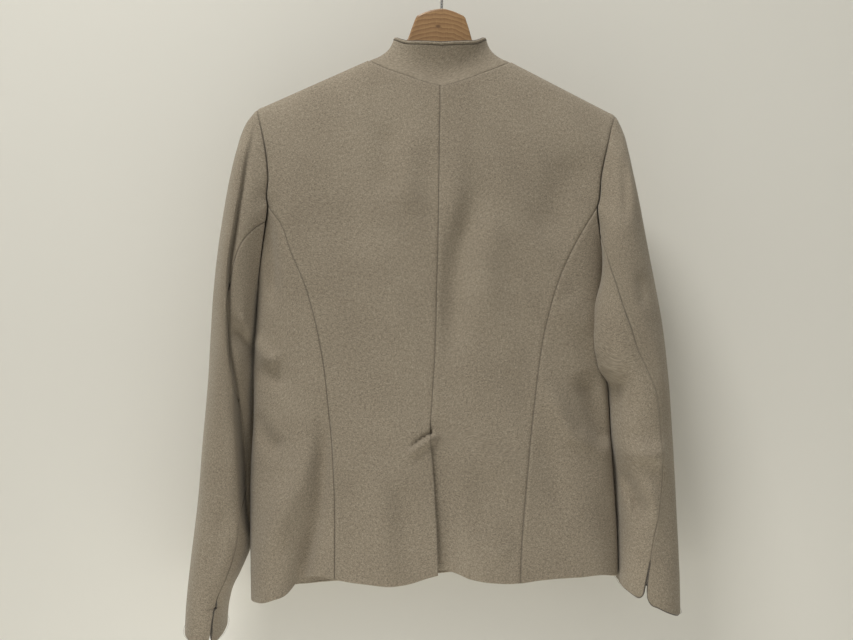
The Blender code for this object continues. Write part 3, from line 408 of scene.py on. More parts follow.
SLEEVE_CREASES = {
    -1: (
        Crease(((-241, -436), (-232, -456), (-221, -476)), -11.0, 7.5, 0.2, 0.9),
        Crease(((-236, -425), (-226, -441), (-217, -455)), 3.4, 6.0, 0.3, 0.5),
        Crease(((-226, -200), (-238, -250), (-248, -310)), 1.6, 9),
        Crease(((-264, -420), (-268, -500), (-272, -580)), -2.2, 9),
        Crease(((-252, -640), (-256, -690), (-262, -730)), -2.6, 9),
        Crease(((-276, -620), (-279, -690), (-286, -750)), 2.2, 9),
        Crease(((-262, -766), (-266, -768), (-272, -768)), -1.6, 2.4, 0.9),
        Crease(((-246, -766), (-242, -769), (-238, -770)), -1.4, 2.4, 0.9),
    ),
    1: (
        Crease(((212, -232), (212, -275), (210, -330)), -4.0, 6.5),
        Crease(((226, -376), (229, -396), (231, -426)), -3.0, 8),
        Crease(((206, -478), (213, -520), (214, -560)), -4.5, 9),
        Crease(((204, -582), (218, -586), (242, -588), (262, -580)), 7.5, 12, 0.8, 0.2),
        Crease(((206, -600), (215, -620), (225, -642), (236, -670)), -13.0, 8.0, 0.3),
        Crease(((204, -610), (206, -650), (210, -720)), -4.5, 11, 0.3),
        Crease(((236, -612), (241, -640), (246, -676)), 2.4, 9),
        Crease(((243, -430), (252, -480), (258, -540)), 2.0, 11),
        Crease(((262, -600), (260, -660), (262, -720)), -2.2, 11),
    ),
}
# The long fold of the left sleeve: its outer strip stands over the rest along this line
OVERLAP_COLUMNS = ("height", "x", "depth", "spread")
OVERLAP_LINE = (
    (-196, -221.5, 0.0, 11), (-225, -225.5, 3.5, 11), (-251, -229.2, 6.5, 11), (-287, -233.4, 8.5, 11),
    (-322, -238.6, 9.5, 11), (-357, -244.0, 10.0, 11), (-379, -246.2, 10.5, 11),
    (-411, -247.1, 10.5, 11), (-454, -247.0, 11.0, 11), (-478, -245.4, 12.0, 11),
    (-504, -241.5, 14.0, 24), (-538, -239.8, 28.0, 60), (-573, -238.0, 40.0, 90),
    (-614, -236.0, 44.0, 90), (-656, -234.0, 38.0, 90), (-680, -230.5, 24.0, 90),
    (-697, -227.0, 8.0, 90), (-712, -224.0, 0.0, 90),
)
OVERLAP_EDGE = 2.6 * MM
OVERLAP_ROLL = 1.4 * MM

# How much deeper the creases are made than the tables give
CREASE_GAIN = 1.8
SLEEVE_CREASE_GAIN = 1.4
# Below the shoulder line the creases grow over this drop
CREASE_FADE = 26 * MM

# Gentle unevenness of the hung cloth: wave lengths across and down, phase and rise
UNEVEN_WAVES = (
    (61, 143, 0.4, 0.42), (37, 88, 2.1, 0.26), (23, 47, 4.0, 0.14), (97, 59, 1.2, 0.22),
)


def unevenness(x: Array, z: Array) -> Array:
    """Work out the cloth's slight waviness.

    Args:
        x: Places across, in metres.
        z: Heights, in metres.

    Returns:
        Outward move in metres.
    """
    total = np.zeros(np.broadcast(x, z).shape)
    for across, down, phase, rise in UNEVEN_WAVES:
        bend = np.sin(2 * math.pi * z / (down * 1.7 * MM) + phase)
        swing = np.sin(2 * math.pi * (x / (across * MM) + z / (down * MM)) + phase + bend)
        total = total + rise * MM * swing
    return total


@dataclass
class BodyForm:
    """Surface of the jacket's body, read by the turn round it and the height."""

    sections: tuple = BODY_SECTIONS
    power: float = SECTION_POWER
    curves: Curves | None = None

    def __post_init__(self) -> None:
        """Make a curve of each measure."""
        self.curves = Curves(BODY_COLUMNS, self.sections)

    def measure(self, name: str, height: Array) -> Array:
        """Read one of the body's measures at a height."""
        return self.curves.read(name, height)

    def ridge(self, x: Array, side: int) -> Array:
        """Height of the shoulder line over x."""
        return NECK_HEIGHT[side] - SHOULDER_SLOPE[side] * (np.abs(x) - NECK_WIDTH[side])

    def fold_rise(self, x: Array, height: Array) -> Array:
        """How far the body's large folds push the cloth outwards.

        Args:
            x: Places across.
            height: Height below the hook.

        Returns:
            Outward move in metres.
        """
        total = np.zeros(np.broadcast(x, height).shape)
        for row in BACK_FOLDS:
            fold = {column: value * MM for column, value in zip(FOLD_COLUMNS, row)}
            share = np.clip((fold["top"] - height) / (fold["top"] - fold["bottom"]), 0.0, 1.0)
            middle = fold["x_top"] + (fold["x_bottom"] - fold["x_top"]) * share
            total = total + fold["rise"] * smooth_step(share) * bell(x - middle, fold["half_width"])
        return total

    def creased(self, x: Array, height: Array, behind: Array) -> Array:
        """How far the small folds and creases push the cloth outwards.

        Args:
            x: Places across.
            height: Height below the hook.
            behind: Whether a point is on the back.

        Returns:
            Outward move in metres.
        """
        back = sum(crease.push(x, height) for crease in BACK_CREASES)
        front = sum(crease.push(x, height) for crease in FRONT_CREASES)
        return np.where(behind, back, front) * CREASE_GAIN

    def point(
        self, turn: Array, height: Array, lift: float | Array = 0.0, fine: bool = True
    ) -> Array:
        """Find points of the body's surface.

        Args:
            turn: 0 at the centre back and a half circle at the centre front, minus on the left.
            height: Height below the hook.
            lift: Extra outward move.
            fine: Whether the small creases are included.

        Returns:
            The points.
        """
        side = np.where(turn < 0, -1, 1)
        centre = self.measure("centre", height)
        left, right = self.measure("left", height), self.measure("right", height)
        half = np.where(turn < 0, centre - left, right - centre)
        share = 2.0 / self.power
        x = centre + side * half * np.abs(np.sin(turn)) ** share
        behind = np.abs(turn) <= math.pi / 2
        depth = np.where(behind, self.measure("back", height), self.measure("front", height))
        limit = np.maximum(depth * np.abs(np.cos(turn)) ** share, 1e-6)
        drop = np.maximum(np.where(x < 0, self.ridge(x, -1), self.ridge(x, 1)) - height, 0.0)
        reach = limit * np.tanh(np.sqrt(2 * RIDGE_RADIUS * drop) / limit)
        edge = np.abs(np.cos(turn)) ** 0.7
        reach = reach + np.where(behind, self.fold_rise(x, height), 0.0) * edge + lift
        if fine:
            low = smooth_step(drop / CREASE_FADE)
            reach = reach + (self.creased(x, height, behind) + unevenness(x, height)) * edge**0.4 * low
        return np.stack(np.broadcast_arrays(x, np.where(behind, -reach, reach), height), axis=-1)

    def normal(self, turn: Array, height: Array) -> Array:
        """Outward normal of the body's plain surface.

        Args:
            turn: Turn round the body.
            height: Height below the hook.

        Returns:
            The normals.
        """
        small_turn, small_height = 1e-3, 0.1 * MM
        here = self.point(turn, height, fine=False)
        across = self.point(turn + small_turn, height, fine=False)
        across = across - self.point(turn - small_turn, height, fine=False)
        along = here - self.point(turn, height - small_height, fine=False)
        normal = unit(np.cross(across, along))
        x = here[..., 0]
        ridge = np.where(x < 0, self.ridge(x, -1), self.ridge(x, 1))
        slope = np.where(x < 0, -SHOULDER_SLOPE[-1], SHOULDER_SLOPE[1])
        upright = unit(np.stack([slope, np.zeros_like(slope), np.ones_like(slope)], axis=-1))
        return np.where((ridge - height < 1e-6)[..., None], upright, normal)

    def turn_at(self, x: Array, height: Array, side: int) -> Array:
        """Turn at which the back surface passes x.

        Args:
            x: Places across.
            height: Height below the hook.
            side: -1 on the left and 1 on the right.

        Returns:
            The turns, not below 0.
        """
        centre = self.measure("centre", height)
        half = centre - self.measure("left", height) if side < 0 else self.measure("right", height) - centre
        share = np.clip(np.abs(x - centre) / half, 0.0, 1.0)
        return np.arcsin(share ** (self.power / 2))

    def seam_turn(self, height: Array, side: int) -> Array:
        """Turn of the back's outer edge: the armhole, and below it the princess seam."""
        name = "left_seam" if side < 0 else "right_seam"
        return self.turn_at(self.measure(name, height), height, side)

    def armhole_turn(self, height: Array, side: int) -> Array:
        """Turn of the armhole's back edge between the shoulder point and the underarm.

        Args:
            height: Height below the hook.
            side: -1 on the left and 1 on the right.

        Returns:
            The turns, not below 0.
        """
        top = PRINCESS_TOP[side]
        share = 1 - np.sqrt(np.clip((height - UNDERARM) / (top - UNDERARM), 0.0, 1.0))
        start = self.seam_turn(np.array(top), side)
        return np.where(height > top, self.seam_turn(height, side), start + (math.pi / 2 - start) * share)

    def side_back_top(self, shares: Array, side: int) -> Array:
        """Height of a side back's upper edge along the armhole.

        Args:
            shares: Shares of its width.
            side: -1 on the left and 1 on the right.

        Returns:
            The heights.
        """
        heights = np.linspace(PRINCESS_TOP[side], UNDERARM, 400)
        seam = self.seam_turn(heights, side)
        reached = (self.armhole_turn(heights, side) - seam) / (math.pi / 2 - seam)
        return np.interp(shares, reached, heights)

    def lap_turn(self, height: Array, side: int) -> Array:
        """How far a front's edge reaches past the centre front."""
        return self.turn_at(self.measure("centre", height) - side * FRONT_LAP, height, -side)

    def front_turn(self, share: Array, height: Array, side: int) -> Array:
        """Turn of a front at a share of its width, from its lapped edge to the side seam and armhole.

        Args:
            share: Share of the front's width.
            height: Height below the hook.
            side: -1 on the left and 1 on the right.

        Returns:
            The turns.
        """
        edge = np.where(height > UNDERARM, self.armhole_turn(height, side), math.pi / 2)
        lap = self.lap_turn(height, side)
        from_centre = -lap + (edge + lap) * share
        return np.where(from_centre < 0, -side * (math.pi + from_centre), side * (math.pi - from_centre))

    def neck_height(self, x: Array, side: int, front: bool) -> Array:
        """Height of the neck seam over x.

        Args:
            x: Places across.
            side: -1 on the left and 1 on the right.
            front: Whether it is the front's seam.

        Returns:
            The heights.
        """
        share = np.clip(np.abs(x) / NECK_WIDTH[side], 0.0, 1.0)
        if front:
            lapped = LAP_DROP * smooth_step(-side * x / (8 * MM))
            return NECK_HEIGHT[side] - FRONT_NECK_DROP * np.maximum(1 - share**2, 0.0) ** 0.85 - lapped
        shares = np.array([row[0] for row in BACK_NECK])
        heights = np.array([NECK_HEIGHT[side] if row[1] is None else row[1] * MM for row in BACK_NECK])
        return smooth_curve(shares, heights, share)

    def top_height(self, share: Array, side: int, front: bool) -> Array:
        """Height of a back's or front's upper edge, from its inner edge to the shoulder point.

        Args:
            share: Shares of its width.
            side: -1 on the left and 1 on the right.
            front: Whether it is a front.

        Returns:
            The heights.
        """
        height = np.full_like(share, TIP_HEIGHT[side])
        for _ in range(16):
            back = side * share * self.seam_turn(height, side)
            turn = self.front_turn(share, height, side) if front else back
            x = self.point(turn, height, fine=False)[..., 0]
            on_neck = np.abs(x) < NECK_WIDTH[side]
            height = np.where(on_neck, self.neck_height(x, side, front), self.ridge(x, side))
        return height

    def neck_share(self, side: int, front: bool) -> float:
        """Share of a panel's width at which its neck seam meets its shoulder seam.

        Args:
            side: -1 on the left and 1 on the right.
            front: Whether it is a front.

        Returns:
            The share.
        """
        height = np.array(NECK_HEIGHT[side])
        lap = self.lap_turn(height, side) if front else 0.0
        shoulder = self.turn_at(side * NECK_WIDTH[side], height, side)
        return float((shoulder + lap) / (self.seam_turn(height, side) + lap))

    def axis(self, points: Array) -> Array:
        """Points on the body's own upright axis, level with the given ones."""
        centre = self.measure("centre", points[..., 2])
        return np.stack([centre, np.zeros_like(centre), points[..., 2] - 6 * MM], axis=-1)


def hem_height(x: Array, table: tuple) -> Array:
    """Height of a hem over x."""
    rows = np.array(table) * MM
    return smooth_curve(rows[:, 0], rows[:, 1], x)


def hem_lift(bottom: Array, height: Array) -> Array:
    """How far the doubled cloth of the hem stands out."""
    return HEM_LIFT * smooth_step((bottom + HEM_BAND - height) / HEM_LIFT_REACH)


@dataclass
class SleeveForm:
    """Surface of one sleeve, read by the angle round it and the share of its length."""

    body: BodyForm
    side: int
    curves: Curves | None = None
    lean: Curves | None = None
    strip: Curves | None = None
    seam_start: float = 0.0

    def __post_init__(self) -> None:
        """Make a curve of each measure."""
        self.curves = Curves(SLEEVE_COLUMNS, SLEEVE_SECTIONS[self.side], "back_seam")
        self.lean = Curves(("height", "front"), FRONT_LEAN[self.side])
        self.strip = Curves(OVERLAP_COLUMNS, OVERLAP_LINE)
        self.seam_start = math.radians(float(self.read("back_seam", np.array(TIP_HEIGHT[self.side]))))

    def read(self, name: str, height: Array) -> Array:
        """Read one of the sleeve's measures at a height."""
        return self.curves.read(name, height)

    def middle(self, height: Array) -> tuple[Array, Array]:
        """Middle of the sleeve at a height, across and from back to front."""
        x = (self.read("outer", height) + self.read("inner", height)) / 2
        return x, (self.read("back", height) + self.read("front", height)) / 2

    def ring_height(self, angle: Array) -> Array:
        """Height of the armhole at an angle."""
        middle = (TIP_HEIGHT[self.side] + UNDERARM) / 2
        return middle + (TIP_HEIGHT[self.side] - UNDERARM) / 2 * np.cos(angle)

    def ring_turn(self, angle: Array) -> Array:
        """Turn of the armhole at an angle."""
        turn = self.body.armhole_turn(self.ring_height(angle), self.side)
        behind = np.mod(angle, 2 * math.pi) <= math.pi
        return self.side * np.where(behind, turn, math.pi - turn)

    def shown_angle(self, angle: Array, height: Array) -> Array:
        """Angle at which a line of the cloth lies at a height, following the back seam.

        Args:
            angle: Angle at the shoulder.
            height: Height below the hook.

        Returns:
            The angles.
        """
        seam = np.radians(self.read("back_seam", height))
        wrapped = np.mod(angle, 2 * math.pi)
        before = wrapped * seam / self.seam_start
        after = math.pi - (math.pi - wrapped) * (math.pi - seam) / (math.pi - self.seam_start)
        return np.where(wrapped > math.pi, wrapped, np.where(wrapped < self.seam_start, before, after))

    def section(self, angle: Array, height: Array) -> Array:
        """Point of the level section at a height; angle 0 is outward and a quarter turn is the back.

        Args:
            angle: Angle round the sleeve.
            height: Height below the hook.

        Returns:
            The points.
        """
        shown = self.shown_angle(angle, height)
        outer, inner = self.read("outer", height), self.read("inner", height)
        back, front = self.read("back", height), self.read("front", height)
        power = 2.0 / SLEEVE_POWER
        across = np.sign(np.cos(shown)) * np.abs(np.cos(shown)) ** power
        deep = np.sign(np.sin(shown)) * np.abs(np.sin(shown)) ** power
        x = (outer + inner) / 2 + (outer - inner) / 2 * across
        x = x - self.side * self.read("lean", height) * np.clip(deep, 0.0, 1.0) ** 2
        x = x - self.side * self.lean.read("front", height) * np.clip(-deep, 0.0, 1.0)
        y = (back + front) / 2 - (front - back) / 2 * deep
        push = np.zeros_like(x)
        for row in SLEEVE_FOLDS[self.side]:
            fold = dict(zip(SLEEVE_FOLD_COLUMNS, row))
            share = np.clip((fold["top"] - height / MM) / (fold["top"] - fold["bottom"]), 0.0, 1.0)
            middle = fold["start"] + (fold["end"] - fold["start"]) * share
            near = bell(np.degrees(shown) - middle, fold["half_width"])
            push = push + fold["rise"] * MM * np.sin(math.pi * share) * near
        return np.stack([x + self.side * push * across, y - push * deep, height + 0 * x], axis=-1)

    def hem(self, angle: Array) -> Array:
        """Height of the sleeve's lower edge at an angle."""
        outer, back, inner = (value * MM for value in SLEEVE_HEM[self.side])
        level = (outer + inner) / 2 + (outer - inner) / 2 * np.cos(angle)
        return level + (back - (outer + inner) / 2) * np.sin(angle)

    def point(self, angle: Array, share: Array, fine: bool = True) -> Array:
        """Find points of the sleeve.

        Args:
            angle: Angle round the sleeve.
            share: 0 at the armhole and 1 at the lower edge.
            fine: Whether the small creases are included.

        Returns:
            The points.
        """
        start_height = self.ring_height(angle)
        start = self.body.point(self.ring_turn(angle), start_height, fine=False)
        height = start_height + (self.hem(angle) - start_height) * share
        left = np.exp(-(start_height - height) / HEAD_BLEND)
        place = self.section(angle, height) + (start - self.section(angle, start_height)) * left[..., None]
        if fine:
            place = self.creased(place, 1 - left)
        clear = SLEEVE_CLEAR * smooth_step((start_height - height) / CLEAR_FADE) + SEAM_GAP
        return self.beside_body(place, clear)

    def creased(self, place: Array, strength: Array) -> Array:
        """Move points of the sleeve by its folds and creases.

        Args:
            place: Points of the plain sleeve.
            strength: Share of each crease that reaches the point.

        Returns:
            The moved points.
        """
        x, y, z = place[..., 0], place[..., 1], place[..., 2]
        _, centre_y = self.middle(z)
        half = (self.read("front", z) - self.read("back", z)) / 2
        behind = np.clip((centre_y - y) / half, 0.0, 1.0) ** 0.5
        ahead = np.clip((y - centre_y) / half, 0.0, 1.0) ** 0.5
        push = sum(crease.push(x, z) for crease in SLEEVE_CREASES[self.side]) * SLEEVE_CREASE_GAIN
        outward = push * (behind - 0.3 * ahead) + unevenness(x + y, z) * (behind + ahead)
        if self.side < 0:
            outward = outward - self.overlap(x, z) * behind
        y = y - np.sign(centre_y - y) * outward * strength
        return np.stack([x, y, z], axis=-1)

    def fold_shade(self, points: Array) -> Array | None:
        """How much painted shade, along with a shallow groove, each point gets in the long fold's narrow
        crease.

        Args:
            points: Points of the sleeve.

        Returns:
            Shares from 0 to 1, or nothing on the right.
        """
        if self.side > 0:
            return None
        x, z = points[..., 0], points[..., 2]
        away = x - self.strip.read("x", z) - OVERLAP_EDGE * 0.4
        behind = points[..., 1] < self.middle(z)[1]
        strength = np.clip(self.strip.read("depth", z) / (6 * MM), 0.0, 1.0)
        # Painted shade in the crease, where the outer strip overhangs
        return GROOVE_SHADE * bell(away, 1.6 * MM) * strength * behind

    def overlap(self, x: Array, z: Array) -> Array:
        """How deep the cloth lies past the long fold's edge.

        Args:
            x: Places across.
            z: Heights.

        Returns:
            Inward move in metres.
        """
        away = x - self.strip.read("x", z)
        depth = self.strip.read("depth", z)
        drop = smooth_step((away + OVERLAP_EDGE / 2) / OVERLAP_EDGE)
        spread = np.exp(-np.maximum(away, 0.0) / self.strip.read("spread", z))
        roll = OVERLAP_ROLL * bell(away + 6 * MM, 5 * MM) * smooth_step(depth / (4 * MM))
        return depth * drop * spread - roll

    def beside_body(self, place: Array, clear: Array) -> Array:
        """Move points out of the body along its normal, so that the sleeve lies against it.

        Args:
            place: Points of the sleeve.
            clear: Room kept between the body and the sleeve.

        Returns:
            The moved points.
        """
        body, height = self.body, place[..., 2]
        centre = body.measure("centre", height)
        half = np.abs(body.measure("left" if self.side < 0 else "right", height) - centre) + clear
        x, y = place[..., 0] - centre, place[..., 1]
        power = SECTION_POWER
        for _ in range(4):
            share = np.clip(np.abs(x) / half, 0.0, 1.0)
            depth = np.where(y < 0, body.measure("back", height), body.measure("front", height))
            limit = np.maximum(depth * (1 - share**power) ** (1 / power), 1e-6)
            drop = np.maximum(body.ridge(x + centre, self.side) - height, 0.0)
            depth = depth * np.tanh(np.sqrt(2 * RIDGE_RADIUS * drop) / limit) + clear
            rise = np.where(y < 0, body.fold_rise(x + centre, height), 0.0)
            depth = depth + np.maximum(rise, 0.0)
            inside = (np.abs(x) / half) ** power + (np.abs(y) / depth) ** power
            slope_x = np.sign(x) * power * (np.abs(x) / half) ** (power - 1) / half
            slope_y = np.sign(y) * power * (np.abs(y) / depth) ** (power - 1) / depth
            step = np.maximum(1 - inside, 0.0) / np.maximum(slope_x**2 + slope_y**2, 1e-6)
            x, y = x + slope_x * step, y + slope_y * step
        near = smooth_step((TIP_HEIGHT[self.side] - BESIDE_START - height) / BESIDE_FADE)[..., None]
        return place + (np.stack([x + centre, y, height], axis=-1) - place) * near

    def axis(self, points: Array) -> Array:
        """Points on the sleeve's own axis, level with the given ones."""
        height = points[..., 2]
        return np.stack([*self.middle(height), height], axis=-1)


class Edge(Enum):
    """How one edge of a cut piece is finished."""

    SEAM = "seam"
    FREE = "free"


class NodeBoard:
    """Small helper that builds one material's node tree."""

    def __init__(self, name: str) -> None:
        """Start a material with a Principled shader and the Object coordinates."""
        self.material = bpy.data.materials.new(f"{name}_finish")
        self.material.use_nodes = True
        self.tree = self.material.node_tree
        self.shader = self.tree.nodes["Principled BSDF"]
        self.place = self.add("ShaderNodeTexCoord").outputs["Object"]

    def add(self, kind: str, inputs: dict | None = None, **settings: object) -> bpy.types.Node:
        """Add a node.

        Args:
            kind: Type of the node.
            inputs: Constant or output for a socket, by its name or number.
            settings: The node's own properties.

        Returns:
            The node.
        """
        node = self.tree.nodes.new(kind)
        for name, value in settings.items():
            setattr(node, name, value)
        for key, value in (inputs or {}).items():
            self.fill(node.inputs[key], value)
        return node

    def fill(self, socket: Socket, value: object) -> None:
        """Link an output to a socket or set a constant on it; None leaves it alone.

        Args:
            socket: Input of a node.
            value: What goes into it.
        """
        if isinstance(value, bpy.types.NodeSocket):
            self.tree.links.new(value, socket)
        elif value is not None:
            socket.default_value = value

    def mapping(
        self, source: Socket, scale: Triple, place: Triple = ORIGIN, turn: Triple = ORIGIN
    ) -> Socket:
        """Stretch, shift and turn a pattern's coordinates."""
        inputs = {"Vector": source, "Location": place, "Rotation": turn, "Scale": scale}
        return self.add("ShaderNodeMapping", inputs).outputs["Vector"]

    def noise(self, source: Socket, scale: float, detail: float, roughness: float) -> Socket:
        """Add noise at a scale in cycles a metre."""
        inputs = {"Vector": source, "Scale": scale, "Detail": detail, "Roughness": roughness}
        return self.add("ShaderNodeTexNoise", inputs).outputs["Fac"]

    def math(self, operation: str, *values: object) -> Socket:
        """Combine outputs and numbers."""
        return self.add("ShaderNodeMath", dict(enumerate(values)), operation=operation).outputs[0]

    def ramp(self, source: Socket, *tones: tuple[float, Triple]) -> Socket:
        """Turn a value into a colour.

        Args:
            source: The value.
            tones: Place and colour of each stop.

        Returns:
            The colour.
        """
        node = self.add("ShaderNodeValToRGB", {"Fac": source})
        elements = node.color_ramp.elements
        while len(elements) < len(tones):
            elements.new(0.5)
        for element, (place, colour) in zip(elements, tones):
            element.position = place
            element.color = (*colour, 1.0)
        return node.outputs["Color"]

    def mix(self, share: Socket, first: Socket, second: Triple) -> Socket:
        """Blend a colour towards a constant one."""
        inputs = {"Factor": share, 6: first, 7: (*second, 1.0)}
        return self.add("ShaderNodeMix", inputs, data_type="RGBA").outputs[2]

    def weave(self, source: Socket, thread: float) -> Socket:
        """Relief of warp and weft threads.

        Args:
            source: Coordinates in metres along the cloth.
            thread: Distance from one thread to the next.

        Returns:
            Height of the weave from 0 to 1.
        """
        inputs = {"Vector": source, "Scale": 2 * math.pi / 20 / thread}
        inputs |= {"Distortion": 1.6, "Detail": 2.0, "Detail Scale": 1.4}
        bands = []
        for direction in ("X", "Y", "DIAGONAL"):
            bands.append(self.add("ShaderNodeTexWave", inputs, bands_direction=direction).outputs["Fac"])
        return self.math("MULTIPLY_ADD", bands[2], 0.35, self.math("MULTIPLY", *bands[:2]))

    def surface(self, tone: Socket, relief: Socket | None, bump: tuple, **values: object) -> Material:
        """Dress the shader.

        Args:
            tone: Its colour.
            relief: Height of its relief, if any.
            bump: The relief's strength, and its height in metres.
            values: What goes into its other sockets, with _ for a space.

        Returns:
            The material.
        """
        self.fill(self.shader.inputs["Base Color"], tone)
        if relief is not None:
            inputs = {"Height": relief, "Strength": bump[0], "Distance": bump[1]}
            self.fill(self.shader.inputs["Normal"], self.add("ShaderNodeBump", inputs).outputs["Normal"])
        for name, value in values.items():
            self.fill(self.shader.inputs[name.replace("_", " ")], value)
        return self.material


@dataclass(frozen=True)
class WoolFinish:
    """Melange wool: fibres of several tones in a soft, slightly napped weave."""

    name: str = "wool"
    light: Triple = (0.445, 0.388, 0.30)
    middle: Triple = (0.303, 0.256, 0.192)
    dark: Triple = (0.18, 0.147, 0.106)
    # Dark colour of the painted shade in seam lines and grooves
    seam: Triple = (0.10, 0.083, 0.06)
    roughness: float = 0.92
    sheen: float = 0.22
    fleck_size: float = 0.95 * MM
    mottle_size: float = 3.4 * MM
    cloud_size: float = 65 * MM
    thread_size: float = 0.9 * MM
    nap_size: float = 0.5 * MM

    def material(self) -> Material:
        """Build the wool's node material.

        Returns:
            The material, which reads the piece's UV map and its edge attribute of painted seam and groove
            shade.
        """
        nodes = NodeBoard(self.name)
        cloth = nodes.add("ShaderNodeUVMap", uv_map="cloth").outputs["UV"]
        warp = nodes.noise(nodes.mapping(cloth, (1.0, 0.5, 1.0)), 1 / self.fleck_size, 3.0, 0.62)
        weft = nodes.noise(nodes.mapping(cloth, (0.5, 1.0, 1.0)), 0.9 / self.fleck_size, 3.0, 0.62)
        mottle = nodes.noise(cloth, 1 / self.mottle_size, 3.0, 0.6)
        cloud = nodes.noise(nodes.place, 1 / self.cloud_size, 2.0, 0.5)
        flecks = nodes.math("MULTIPLY_ADD", mottle, 0.62, nodes.math("ADD", warp, weft))
        flecks = nodes.math("MULTIPLY_ADD", cloud, 0.22, flecks)
        flecks = nodes.math("MULTIPLY", flecks, 1 / 2.84)
        tone = nodes.ramp(flecks, (0.39, self.dark), (0.50, self.middle), (0.61, self.light))
        # Painted shade of seams and grooves, read from the edge attribute
        edge = nodes.add("ShaderNodeAttribute", attribute_name="edge").outputs["Fac"]
        relief = nodes.math("MULTIPLY_ADD", nodes.weave(cloth, self.thread_size), 0.55, flecks)
        nap = nodes.noise(cloth, 1 / self.nap_size, 2.0, 0.5)
        relief = nodes.math("MULTIPLY_ADD", nap, 0.35, relief)
        sheen = {"Sheen_Weight": self.sheen, "Sheen_Roughness": 0.55, "Sheen_Tint": (1.0, 0.96, 0.88, 1.0)}
        # Painted shade: the edge attribute darkens seam lines and grooves towards the seam colour
        tone = nodes.mix(edge, tone, self.seam)
        return nodes.surface(
            tone, relief, (0.5, 0.4 * MM), Roughness=self.roughness, Specular_IOR_Level=0.22, **sheen
        )


@dataclass(frozen=True)
class CordFinish:
    """Dark twisted cord of the piping, or a lighter sewing thread."""

    name: str = "braid"
    light: Triple = (0.135, 0.115, 0.09)
    dark: Triple = (0.05, 0.042, 0.034)
    fibre_size: float = 1.1 * MM
    roughness: float = 0.85

    def material(self) -> Material:
        """Build the cord's node material."""
        nodes = NodeBoard(self.name)
        fibres = nodes.noise(nodes.place, 1 / self.fibre_size, 3.0, 0.6)
        tone = nodes.ramp(fibres, (0.36, self.dark), (0.64, self.light))
        rough = {"Roughness": self.roughness, "Sheen_Weight": 0.3, "Specular_IOR_Level": 0.25}
        return nodes.surface(tone, fibres, (0.6, 0.3 * MM), **rough)


@dataclass(frozen=True)
class WoodFinish:
    """Varnished wood with arched growth rings, fine pores and one small knot on the head."""

    name: str = "beech"
    light: Triple = (0.44, 0.265, 0.118)
    middle: Triple = (0.36, 0.205, 0.088)
    dark: Triple = (0.22, 0.115, 0.046)
    knot: Triple = (0.10, 0.045, 0.02)
    knot_place: Triple = (-4.3 * MM, -6.0 * MM, -85.5 * MM)
    knot_shape: Triple = (0.6, 0.1, 1.0)

    def material(self) -> Material:
        """Build the wood's node material.

        Returns:
            The material, whose rings are centred well above the head.
        """
        nodes = NodeBoard(self.name)
        shift = nodes.noise(nodes.place, 1 / (45 * MM), 2.0, 0.5)
        inputs = {"Vector": nodes.mapping(nodes.place, (1.0, 0.6, 0.62), (6 * MM, 0.0, 176 * MM))}
        inputs |= {"Scale": 95.0, "Distortion": 3.4, "Detail": 3.0, "Detail Scale": 0.8}
        kind = {"wave_type": "RINGS", "rings_direction": "Y", "wave_profile": "SAW"}
        rings = nodes.add("ShaderNodeTexWave", inputs, **kind).outputs["Fac"]
        fibres = nodes.mapping(nodes.place, (1.0, 1.0, 0.09), turn=(0.0, math.radians(14), 0.0))
        pores = nodes.noise(fibres, 1 / (1.1 * MM), 4.0, 0.65)
        grain = nodes.math("MULTIPLY_ADD", pores, 0.45, nodes.math("MULTIPLY", rings, 0.45))
        grain = nodes.math("MULTIPLY_ADD", shift, 0.3, grain)
        tone = nodes.ramp(grain, (0.30, self.light), (0.55, self.middle), (0.92, self.dark))
        back = tuple(-value * share for value, share in zip(self.knot_place, self.knot_shape))
        offset = nodes.mapping(nodes.place, self.knot_shape, back)
        away = nodes.add("ShaderNodeVectorMath", {0: offset}, operation="LENGTH").outputs["Value"]
        limits = {"From Min": 0.8 * MM, "From Max": 2.6 * MM, "To Min": 0.75, "To Max": 0.0}
        near = nodes.add("ShaderNodeMapRange", {"Value": away} | limits, interpolation_type="SMOOTHSTEP")
        tone = nodes.mix(near.outputs["Result"], tone, self.knot)
        return nodes.surface(
            tone, pores, (0.35, 0.2 * MM), Roughness=0.42, Coat_Weight=0.25, Coat_Roughness=0.25
        )


@dataclass(frozen=True)
class HornFinish:
    """Dull polished horn with drifting streaks."""

    name: str = "horn"
    light: Triple = (0.20, 0.145, 0.09)
    dark: Triple = (0.055, 0.038, 0.026)

    def material(self) -> Material:
        """Build the horn's node material."""
        nodes = NodeBoard(self.name)
        streaks = nodes.mapping(nodes.place, (1.0, 1.0, 0.35), turn=(0.0, math.radians(35), 0.0))
        drift = nodes.noise(streaks, 1 / (5 * MM), 4.0, 0.6)
        tone = nodes.ramp(drift, (0.35, self.dark), (0.66, self.light))
        return nodes.surface(tone, drift, (0.15, 0.1 * MM), Roughness=0.34)


@dataclass(frozen=True)
class WireFinish:
    """Bright plated wire with faint drawing marks."""

    name: str = "steel"
    light: Triple = (0.68, 0.67, 0.65)
    dark: Triple = (0.50, 0.49, 0.47)

    def material(self) -> Material:
        """Build the wire's node material."""
        nodes = NodeBoard(self.name)
        marks = nodes.noise(nodes.place, 1 / (1.4 * MM), 3.0, 0.6)
        tone = nodes.ramp(marks, (0.35, self.dark), (0.62, self.light))
        rough = nodes.add("ShaderNodeMapRange", {"Value": marks, "To Min": 0.2, "To Max": 0.36})
        return nodes.surface(tone, None, NO_BUMP, Roughness=rough.outputs["Result"], Metallic=1.0)


